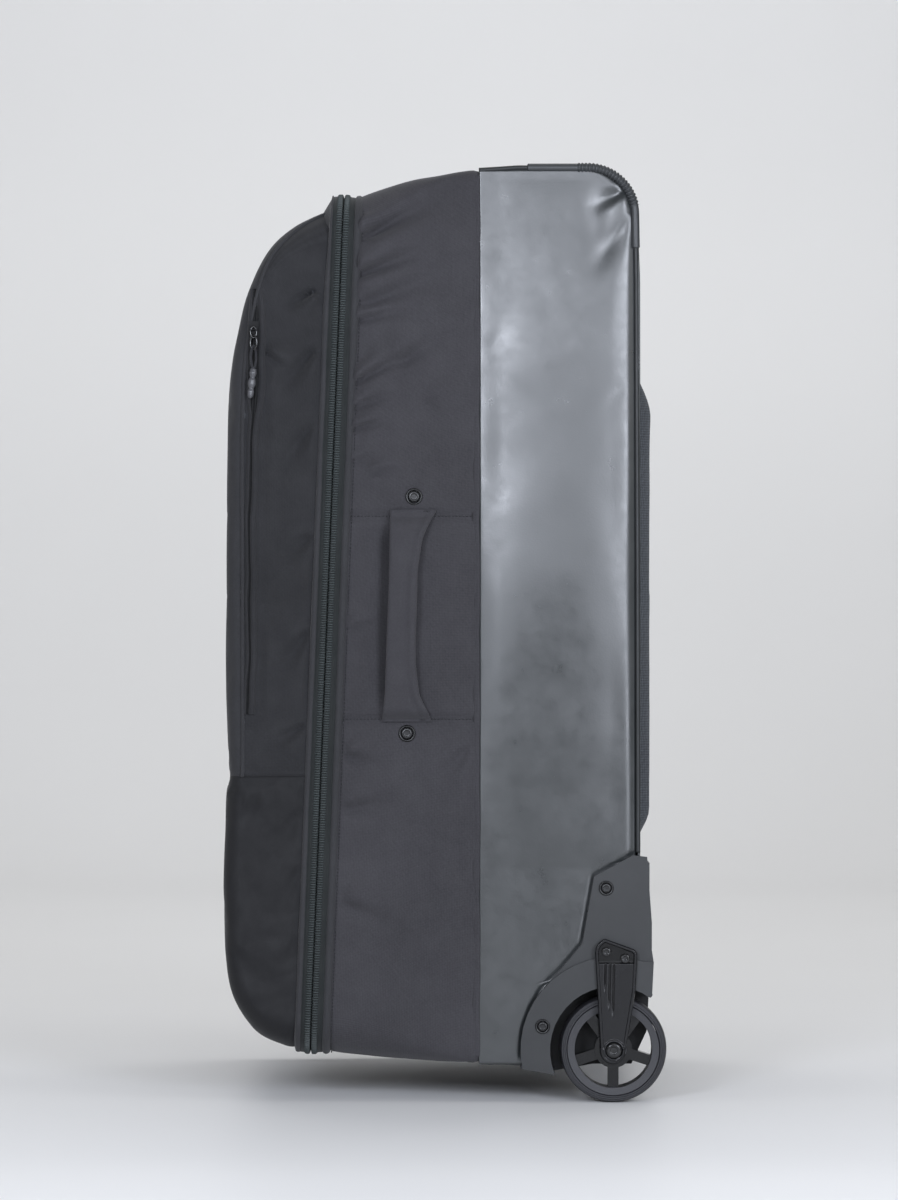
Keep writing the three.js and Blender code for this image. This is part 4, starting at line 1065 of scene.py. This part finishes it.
def lid_grid():
    """The lid's whole skin as rows along its outline: side, rounded edge, front, rounded edge, side."""
    count = len(LID_LINE)
    share = np.linspace(0, 1, count)
    n_in = inward(LID_LINE)
    a, b = shoulder(share)
    half = HALF - 0.4 * MM
    edge = np.interp(share, [0, 0.05, 0.12, 0.20, 0.26], [2.0, 2.5, 6.0, 10.0, 11.3]) * MM
    seam_turn = np.arcsin(np.clip(1 - edge / b, 0.02, 1))
    k = np.linspace(0, 1, SEAM_COLUMN + 1)[:, None]
    m = np.linspace(0, 1, 8)[1:, None]
    turn = np.concatenate([seam_turn * k, seam_turn + (np.pi / 2 - seam_turn) * m])
    flat, side = 36, 26
    rim = LID_LINE + n_in * (b + 0.5 * MM)[:, None]
    levels = (SEAM_HIGH - CORNER_R, POCKET_SEAM_Z, SEAM_LOW + CORNER_R)
    z_seam = np.interp(np.arange(count), (0, POCKET_ROW, count - 1), levels)
    seam = np.stack([np.maximum(seam_y(z_seam) - 0.8 * MM, rim[:, 0] + 1e-5), z_seam], 1)
    u = np.linspace(1, 0, side)[:, None, None]
    flank = rim[None] * (1 - u) + seam[None] * u
    flank = flank[:-1]
    arc = np.stack([LID_LINE + n_in * (b * (1 - np.sin(w)) + 0.5 * MM)[:, None] for w in turn])
    front = np.repeat((LID_LINE + n_in * 0.5 * MM)[None], flat - 2, 0)
    yz = np.concatenate([flank, arc, front, arc[::-1], flank[::-1]])
    arc_x = half - a + a * np.cos(turn)
    front_x = np.linspace(1, -1, flat)[1:-1, None] * (half - a)[None]
    flank_x = np.full((side - 1, count), half)
    x = np.concatenate([flank_x, arc_x, front_x, -arc_x[::-1], -flank_x[::-1]])
    points = np.concatenate([x[..., None], yz], 2).transpose(1, 0, 2)
    facing = np.concatenate([np.zeros((side - 1, count)), turn, np.full((flat - 2, count), np.pi / 2)])
    facing = np.concatenate([facing, turn[::-1], np.zeros((side - 1, count))]).T[..., None]
    sign = np.where(np.arange(points.shape[1]) < points.shape[1] / 2, 1, -1)[None, :, None]
    out = np.concatenate([np.cos(facing) * sign, -np.sin(facing) * n_in[:, None]], 2)
    return points, out, side - 1 + SEAM_COLUMN


def flatten_pocket(obj):
    """Hold the cover in along the pocket's zip, so that the slider has a clear way down it."""
    top, bottom = POCKET_ZIP
    co = coords(obj)
    t = np.clip((top.z - co[:, 2]) / (top.z - bottom.z), 0, 1)
    off = np.hypot(co[:, 1] - top.y - (bottom.y - top.y) * t, co[:, 2] - top.z + (top.z - bottom.z) * t)
    near = smooth((18 * MM - off) / (8 * MM)) * (co[:, 0] > 0)
    co[:, 0] -= near * np.maximum(co[:, 0] - HALF + 0.4 * MM, 0)
    set_coords(obj, co)


def lid_fabric():
    points, outward, flank = lid_grid()
    edges = (flank, points.shape[1] - 1 - flank)
    covers = []
    for name, part, material in (
        ("upper", slice(0, POCKET_ROW + 1), "lid"), ("pocket", slice(POCKET_ROW, None), "nylon"),
    ):
        lower = name == "pocket"
        obj = grid(f"lid_{name}_cover", points[part])
        co, n = coords(obj), outward[part].reshape(-1, 3)
        r, c = points[part].shape[:2]
        j = np.tile(np.arange(c), r)
        row = np.repeat(np.arange(r), c)
        ahead = seam_y(co[:, 2]) - co[:, 1]
        held = smooth((ahead - 0.0130) / 0.009)
        from_pocket_seam = (row if lower else r - 1 - row) * 3 * MM
        held *= smooth(from_pocket_seam / 0.014)
        if not lower:
            for e in edges:
                held *= 1 - 0.9 * np.exp(-(((j - e) / 1.2) ** 2))
        table = POCKET_FOLDS if lower else LID_FOLDS
        on_side = smooth((np.abs(co[:, 0]) - HALF + 0.008) / 0.006)
        folds = np.where(co[:, 0] > 0, apply_folds(co, table), apply_folds(co, table, -1)) * on_side
        soft = (low_noise(co, 9, 2.0) * 1.6 + low_noise(co, 24, 4.0) * (0.9 if lower else 0.4)) * MM
        swell = (1.6 if lower else 1.2) * MM
        set_coords(obj, co + n * (held * (soft + swell))[:, None])
        pinned = np.where((held < 0.12) | (row == 0) | (row == r - 1) | (j == 0) | (j == c - 1))[0]
        drape(obj, pinned, pressure=0.9 if lower else 0.4, swell=0.004 if lower else 0.002, cap=0.002)
        set_coords(obj, coords(obj) + n * (smooth(held / 0.5) * folds)[:, None])
        if not lower:
            flatten_pocket(obj)
        nodes = ("lid_lower_panel",) if lower else ("lid_front_panel", "lid_side_right", "lid_side_left")
        finish_piece(obj, material, "nylon" if lower else "woven", "lid", *nodes)
        thicken(obj, 1.2 * MM, M["lining"])
        covers.append(obj)
        if not lower:
            obj.data.materials.append(M["strip"])
            index = np.zeros(len(obj.data.polygons), np.int32)
            col = np.tile(np.arange(c - 1), r - 1)
            index[(col >= edges[0]) & (col < edges[1])] = 2
            obj.data.polygons.foreach_set("material_index", index)
            final = coords(obj).reshape(r, c, 3)
            for key, e, s in (("right", edges[0], 1), ("left", edges[1], -1)):
                line = final[:, e] + np.array([s * 0.7 * MM, 0, 0])
                pipe = tube(f"lid_piping_{key}", resample(line, 420), 1.5 * MM, 10)
                finish_piece(pipe, "strip", "woven", "lid")
    return covers[0]


def lid_lining():
    low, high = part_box("lid_divider")
    rows, cols = 60, 40
    u, v = np.meshgrid(np.linspace(low.x, high.x, cols), np.linspace(low.z, high.z, rows))
    s, h = (u - low.x) / (high.x - low.x), (v - low.z) / (high.z - low.z)
    sag = np.sin(np.pi * s) * np.sin(np.pi * h)
    obj = grid("lid_divider_cloth", np.stack([u, high.y - 1.5 * MM + sag * 1.5 * MM, v], -1), flip=True)
    finish_piece(obj, "lining", "lining", "lid", "lid_divider")
    thicken(obj, 1.0 * MM)


# ---- The pocket's zip and pull ----


def pocket_zip(skin):
    """The zip in the lid's side: open round the slider, then closed under a narrow folded flap."""
    top, bottom = POCKET_ZIP
    count = 700
    t = np.linspace(0, 1, count)
    y = top.y + (bottom.y - top.y) * t + 0.0010 * np.sin(t * 9) + 0.0005 * np.sin(t * 31)
    z = top.z + (bottom.z - top.z) * t
    base = np.array([skin(a, b, 1) for a, b in zip(y, z)])
    base = np.convolve(np.pad(base, 20, "edge"), np.ones(41) / 41, "valid")
    pitch = 1.4 * MM
    tooth = 0.3 * MM * np.clip(1.4 * np.cos(2 * np.pi * (t * (top - bottom).length) / pitch), -1, 1)
    section = [(-3.6, -0.6, 0), (-2.2, 0.3, 0.3), (-1.2, 0.7, 1), (-0.25, 0.5, 1), (0, -0.1, 0),
               (0.25, 0.5, 1), (1.2, 0.7, 1), (2.2, 0.3, 0.3), (3.6, -0.6, 0)]
    cols = [np.stack([base + h * MM + tooth * k, y + w * MM, z], 1) for w, h, k in section]
    coil = grid("pocket_coil", np.stack(cols, 1), flip=False)
    finish_piece(coil, "slider", "gloss_plastic", "lid")
    gape = 1.0 + 3.2 * np.sin(np.pi * np.clip(t / 0.30, 0, 1)) ** 0.7 * (t < 0.30)
    for name, k, width in (("front", -1, 2.6), ("rear", 1, 5.6)):
        section = [
            (0.0, -0.7), (0.1, 0.9), (0.7, 1.9), (width * 0.5, 2.2), (width - 0.6, 1.6), (width, 0.3),
            (width + 0.1, -0.8),
        ]
        wob = 0.30 * MM * np.sin(t * 26 + k) + 0.2 * MM * np.sin(t * 67)
        lift = 1.0 + 0.5 * np.exp(-(((t - 0.15) / 0.12) ** 2))
        cols = [np.stack([base + h * MM * lift, y + k * (w + gape) * MM + wob, z], 1) for w, h in section]
        lip = grid(f"pocket_lip_{name}", np.stack(cols, 1), flip=k < 0)
        finish_piece(lip, "lid", "woven", "lid")


def ring_points(centre, across, up, ra, rb, count=40):
    a = np.linspace(0, 2 * np.pi, count + 1)
    return [centre + across * (ra * math.cos(t)) + up * (rb * math.sin(t)) for t in a]


def pocket_pull():
    """The slider's ring, a second oval ring, and a doubled cord with beads at its end."""
    y, up, out = Vector((0, 1, 0)), Vector((0, 0, 1)), Vector((1, 0, 0))
    pivot = PULL_SLIDER + out * 5.2 * MM
    turned = (y * 0.8 + out * 0.3).normalized()
    parts = [
        tube("ring_a", ring_points(pivot - up * 2.4 * MM, y, up, 2.6 * MM, 4.6 * MM), 0.8 * MM, 10, False),
        tube(
            "ring_b", ring_points(pivot - up * 11 * MM, turned, up, 3.0 * MM, 6.0 * MM), 0.9 * MM, 10, False,
        ),
    ]
    rings = join("pocket_pull_rings", parts)
    finish_piece(rings, "black", "metal", "pocket_pull", "pocket_pull")
    foot = pivot - up * 15.5 * MM
    strands = []
    bends = ((-1.5, 0.2), (0, 1.2), (5, 2.1), (10, 2.1), (14, 1.5), (17, 0.9))
    for k in (-1, 1):
        pts = [tuple(foot + y * (k * w * MM) - up * (d * MM)) for d, w in bends]
        strands.append(tube(f"strand_{k}", resample(pts, 40), 0.95 * MM, 10))
    cord = join("pocket_pull_cord", strands)
    finish_piece(cord, "webbing", "webbing", "pocket_pull")
    centre = foot - up * 17 * MM
    profile = [
        (0.0, 0.3), (1.2, 2.5), (4.5, 3.3), (7.0, 2.6), (8.2, 2.0), (10.5, 3.1), (14.0, 3.5), (16.5, 2.7),
        (17.6, 2.0), (20.0, 2.9), (23.5, 2.7), (25.5, 1.5), (26.2, 0.2),
    ]
    d = resample(profile, 60)
    line = [tuple(centre - up * (k * MM) - y * (0.0030 * k / 26)) for k in d[:, 0]]
    beads = tube("pocket_pull_beads", line, d[:, 1] * MM, 24, False)
    finish_piece(beads, "bead", "rubber", "pocket_pull")


# ---- Carry handle ----


HANDLE_EDGES = [  # (height, left edge, right edge), in millimetres
    (324, -55.0, -12.6), (331, -54.2, -15.5), (346, -53.2, -23.0), (370, -52.0, -26.2), (398, -51.0, -26.4),
    (430, -50.0, -25.8), (453, -49.2, -24.6), (480, -48.4, -20.4), (496, -47.8, -13.0), (504, -47.6, -8.2),
]


def carry_handle(skin):
    """A padded, folded tube of fabric, wider where it is sewn down at its ends."""
    edges = np.array(HANDLE_EDGES) * MM
    rows, cols = 110, 36
    z = np.linspace(edges[0, 0], edges[-1, 0], rows)
    t = np.linspace(0, 1, rows)
    left, right = np.interp(z, edges[:, 0], edges[:, 1]), np.interp(z, edges[:, 0], edges[:, 2])
    kernel = np.hanning(11) / np.hanning(11).sum()
    right = np.convolve(np.pad(right, 5, "edge"), kernel, "valid")
    ends = 1 - smooth(np.minimum(t, 1 - t) / 0.14)
    centre, half = (left + right) / 2, (right - left) / 2
    rise = 14.0 * MM * np.sin(np.pi * np.clip((t - 0.01) / 0.98, 0, 1)) ** 0.5
    thick = 6.5 * MM * (1 - 0.6 * ends)
    a = np.linspace(0, 2 * np.pi, cols, endpoint=False)
    power = lambda v, p: np.sign(v) * np.abs(v) ** p
    out = []
    for k in range(rows):
        y = centre[k] + half[k] * power(np.cos(a), 0.66)
        base = skin(centre[k], z[k], 1)
        x = base + 0.2 * MM + rise[k] * 0.75 + thick[k] / 2 * (1 + power(np.sin(a), 0.75))
        flap = np.exp(-(((y - right[k] + 8.0 * MM) / (1.6 * MM)) ** 2)) * (np.sin(a) > 0.1)
        out.append(np.stack([x - 2.4 * MM * flap, y, np.full(cols, z[k])], 1))
    out = np.array(out)
    obj = grid("carry_handle_cover", out, cyclic=True, flip=True)
    co, n = coords(obj), normals(obj)
    set_coords(obj, co + n * (low_noise(co, 30, 1.0) * 0.8 * MM)[:, None])
    finish_piece(obj, "handle", "woven", "bag", "carry_handle")
    for k, name, sign in ((rows - 1, "upper", -1), (0, "lower", 1)):
        for row, dz in enumerate((1.5 * MM, 4.2 * MM)):
            ys = np.linspace(left[k] + 1 * MM, right[k] - 1 * MM, 60)
            zs = z[k] + sign * dz
            x = max(skin(y, zs, 1) for y in ys) + (1.8 + row) * MM
            line = np.stack([np.full(60, x), ys, np.full(60, zs)], 1)
            stitches(f"handle_stitch_{name}_{row}", line, "bag", 2.6 * MM, 0.32 * MM)


def skin_of(obj):
    """A function giving how far out a piece's surface is at (y, z), on the side a sign names."""
    mesh = obj.data
    tree = BVHTree.FromPolygons(
        [v.co.copy() for v in mesh.vertices], [tuple(p.vertices) for p in mesh.polygons]
    )

    def reach(y, z, side):
        hit = tree.ray_cast(Vector((side * 0.4, y, z)), Vector((-side, 0, 0)), 0.4)[0]
        return abs(hit.x) if hit else HALF

    return reach


def on_skin(skin, points, side, lift):
    return np.array([[side * (skin(y, z, side) + lift), y, z] for y, z in points])


def panel_seams(skin):
    """The stitched seams that hold the handle's panel, and the welted ones along the coated side."""
    for side, key in ((1, "right"), (-1, "left")):
        for name, z in zip(("lower", "upper"), HANDLE_SEAMS):
            y = np.linspace(seam_y(z) + 13 * MM, TARP_Y - 2 * MM, 160)
            line = on_skin(skin, [(v, z) for v in y], side, 0.1 * MM)
            stitches(f"panel_seam_{name}_{key}", line, "bag", 3.0 * MM, 0.42 * MM)
        z = np.linspace(0.040, 0.788, 500)
        x = side * (HALF + 0.3 * MM)
        stitches(
            f"tarp_seam_{key}", np.stack([np.full(500, x), np.full(500, TARP_Y - 3.0 * MM), z], 1), "bag",
        )
        section = [(-5.2, -0.9), (-5.0, 0.4), (-3.6, 0.9), (-1.4, 1.3), (0.2, 1.5), (0.9, 0.9), (1.0, -0.9)]
        wave = 0.25 * MM * np.sin(z * 61) + 0.15 * MM * np.sin(z * 137)
        cols = [
            np.stack([side * (HALF + h * MM - 0.4 * MM + wave * 0.5), TARP_Y + w * MM + wave, z], 1) for w,
            h in section
        ]
        fold_over = grid(f"tarp_fold_over_{key}", np.stack(cols, 1), flip=side < 0)
        finish_piece(fold_over, "woven", "woven", "bag")


# ---- Rivets, sliders, wheels ----


SNAP = [
    (7.0, -0.8), (7.3, 0.6), (7.0, 1.4), (6.3, 1.8), (5.6, 1.6), (5.1, 0.9), (4.9, 0.3), (4.7, 0.4),
    (4.5, 1.9),
    (4.1, 2.5), (3.0, 2.7), (2.6, 2.3), (1.8, 2.2), (0.1, 2.2),
]


def snap(name, node, size=1.0, height=1.0, base=None, side=1, body="bag", look="rivet"):
    """A cap rivet: a rolled ring, a dark gap and a domed cap."""
    low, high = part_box(node)
    centre = (low + high) / 2
    base = min(abs(low.x), abs(high.x)) if base is None else base
    curve = resample([(r * size * MM, base + x * height * MM) for r, x in SNAP], 70)
    obj = lathe(name, curve, centre, side, 64)
    finish_piece(obj, look, "metal", body, node)


def screw(name, node, side, body="bag"):
    """A pan head with a socket."""
    low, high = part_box(node)
    centre = (low + high) / 2
    r = (high.z - low.z) / 2
    base, top = sorted((abs(low.x), abs(high.x)))
    tall = min(top - base, 2.2 * MM)
    shape = [
        (1.0, -0.6), (1.0, 0.4), (0.93, 0.75), (0.78, 0.97), (0.6, 1.0), (0.5, 0.98), (0.46, 0.5),
        (0.4, 0.42), (0.02, 0.40),
    ]
    curve = resample([(k * r, top - tall + h * tall) for k, h in shape], 50)
    obj = lathe(name, curve, centre, side, 48)
    finish_piece(obj, "black", "metal", body, node)


def outline_distance(points, outline, closed=True):
    """The distance from each point to an outline."""
    best = np.full(len(points), 1e9)
    ends = np.roll(outline, -1, 0) if closed else outline[1:]
    for a, b in zip(outline, ends):
        d = b - a
        t = np.clip(((points - a) @ d) / (d @ d), 0, 1)
        best = np.minimum(best, np.linalg.norm(points - a - t[:, None] * d, axis=1))
    return best


BRACKET = [  # the wheel arm's outline, (y, z) in millimetres, without its round foot
    (130.1, 45.6), (125.6, 128.0), (126.2, 132.5), (128.6, 136.5), (133.6, 140.2), (159.0, 131.0),
    (161.2, 128.0),
    (161.3, 124.0), (159.8, 95.8), (151.3, 43.4),
]


def wheel_arm(name, side):
    """The glossy arm outside a wheel: a raised lip round a hollowed face with three grooves."""
    foot = [
        (140.7 + 10.7 * math.cos(a), 44.5 + 10.7 * math.sin(a))
        for a in np.linspace(-0.1, -math.pi - 0.0, 22)
    ]
    outline = resample(np.array(BRACKET + foot + BRACKET[:1]) * MM, 240)[:-1]
    low, high = outline[:, 1].min(), outline[:, 1].max()
    base = min(abs(v.x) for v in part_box(f"wheel_bracket_{name}")) - 0.2 * MM
    rows, cols = 280, 210
    v = (1 - np.cos(np.linspace(0.02, np.pi - 0.02, rows))) / 2
    v = 0.5 * v + 0.5 * np.linspace(0.001, 0.999, rows)
    u = (1 - np.cos(np.linspace(0, np.pi, cols))) / 2
    u = 0.6 * u + 0.4 * np.linspace(0, 1, cols)
    out = []
    for z in low + (high - low) * v:
        a, b = outline, np.roll(outline, -1, 0)
        hit = (a[:, 1] - z) * (b[:, 1] - z) < 0
        y = a[hit, 0] + (z - a[hit, 1]) / (b[hit, 1] - a[hit, 1]) * (b[hit, 0] - a[hit, 0])
        out.append(np.stack([y.min() + (y.max() - y.min()) * u, np.full(cols, z)], 1))
    yz = np.array(out)
    flat = yz.reshape(-1, 2)
    d = outline_distance(flat, outline) / MM
    y, z = flat[:, 0] / MM, flat[:, 1] / MM
    h = 4.4 - 1.5 * np.clip(1 - d / 1.1, 0, 1) ** 2.2
    h -= 1.7 * smooth((d - 2.3) / 0.8) * (0.4 + 0.9 * smooth((z - 118.5) / 1.8))
    for gy, z0, w in ((134.4, 92, 0.8), (138.2, 78, 0.9), (141.6, 72, 0.9)):
        lean = gy - (121 - z) * 0.02
        h -= 0.9 * np.exp(-(((y - lean) / w) ** 2)) * smooth((z - z0) / 12) * smooth((119.5 - z) / 1.5)
    hub = np.hypot(y - 141.4, z - 45.4)
    h += 1.0 * smooth((9.5 - hub) / 1.2) - 1.0 * smooth((7.4 - hub) / 0.6)
    x = base + h.reshape(rows, cols) * MM
    face = np.concatenate([x[..., None], yz], 2)
    full = np.pad(face, ((1, 1), (1, 1), (0, 0)), "edge")
    full[[0, -1], :, 0] = full[:, [0, -1], 0] = base
    full[..., 0] *= side
    obj = grid(f"wheel_arm_{name}", full, flip=side < 0)
    finish_piece(obj, "bracket", "gloss_plastic", "bag", f"wheel_bracket_{name}")


def tyre(name, side):
    """The urethane tyre, with moulded rings on its walls."""
    low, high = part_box(f"tyre_{name}")
    x0, x1 = sorted((abs(low.x), abs(high.x)))
    centre, half, inner = (x0 + x1) / 2, (x1 - x0) / 2, 39.2 * MM
    wall = [
        (0.0, 0.86), (0.06, 0.95), (0.12, 1.0), (0.30, 1.0), (0.34, 0.93), (0.38, 1.0), (0.56, 0.985),
        (0.60, 0.92), (0.64, 0.97), (0.78, 0.91), (0.90, 0.72), (0.97, 0.48), (1.0, 0.2),
    ]
    section = [(inner + (WHEEL_R - inner) * r, centre + half * w) for r, w in wall]
    section += [(r, 2 * centre - x) for r, x in section[::-1]]
    section.append(section[0])
    obj = lathe(f"tyre_tread_{name}", section[::-1], WHEEL, side, 180)
    finish_piece(obj, "tyre", "tyre", f"wheel_{name}", f"tyre_{name}")


LOOKS = {  # the CAD's own pieces that stay in view: (material, edge radius in millimetres)
    "wheel_housing": ("housing", 1.8), "rim": ("rim", 0.9), "bearing_set": ("steel", 0.3),
    "rear_chassis": ("housing", 0.8), "base_board": ("board", 0.5), "back_plate": ("board", 0.4),
    "pull_handle": ("pull", 2.0), "handle_anchor": ("housing", 0.8), "strap_buckle": ("rivet", 1.2),
    "compression_strap": ("webbing", 0.3), "main_slider": ("black", 0.4), "main_puller": ("black", 0.4),
    "pocket_slider": ("slider", 0.4),
}


def dress_cad():
    """Materials and softened edges for the CAD's own mouldings and boards."""
    for node, obj in NODES.items():
        for start, (material, width) in LOOKS.items():
            if node.startswith(start):
                for slot in obj.material_slots:
                    slot.material = M[material]
                bevel(obj, width * MM)


def main():
    stage()
    gusset_skin = skin_of(gusset())
    tarp_sides()
    top_and_back()
    back_pad()
    piping()
    zips()
    hinge_strip()
    lid_skin = skin_of(lid_fabric())
    lid_lining()
    pocket_zip(lid_skin)
    pocket_pull()
    carry_handle(gusset_skin)
    panel_seams(gusset_skin)
    for end in ("upper", "lower"):
        node = f"handle_rivet_{end}"
        low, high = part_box(node)
        base = gusset_skin((low.y + high.y) / 2, (low.z + high.z) / 2, 1)
        snap(f"handle_snap_{end}", node, base=base)
    for name, side in (("right", 1), ("left", -1)):
        tyre(name, side)
        wheel_arm(name, side)
        for end in ("upper", "lower"):
            snap(f"housing_cap_{end}_{name}", f"housing_rivet_{end}_{name}", 0.86, 0.8, side=side)
        for end in ("front", "rear"):
            screw(f"arm_screw_{end}_{name}", f"bracket_screw_{end}_{name}", side)
        screw(f"axle_head_{name}", f"axle_bolt_{name}", side)
    dress_cad()


main()
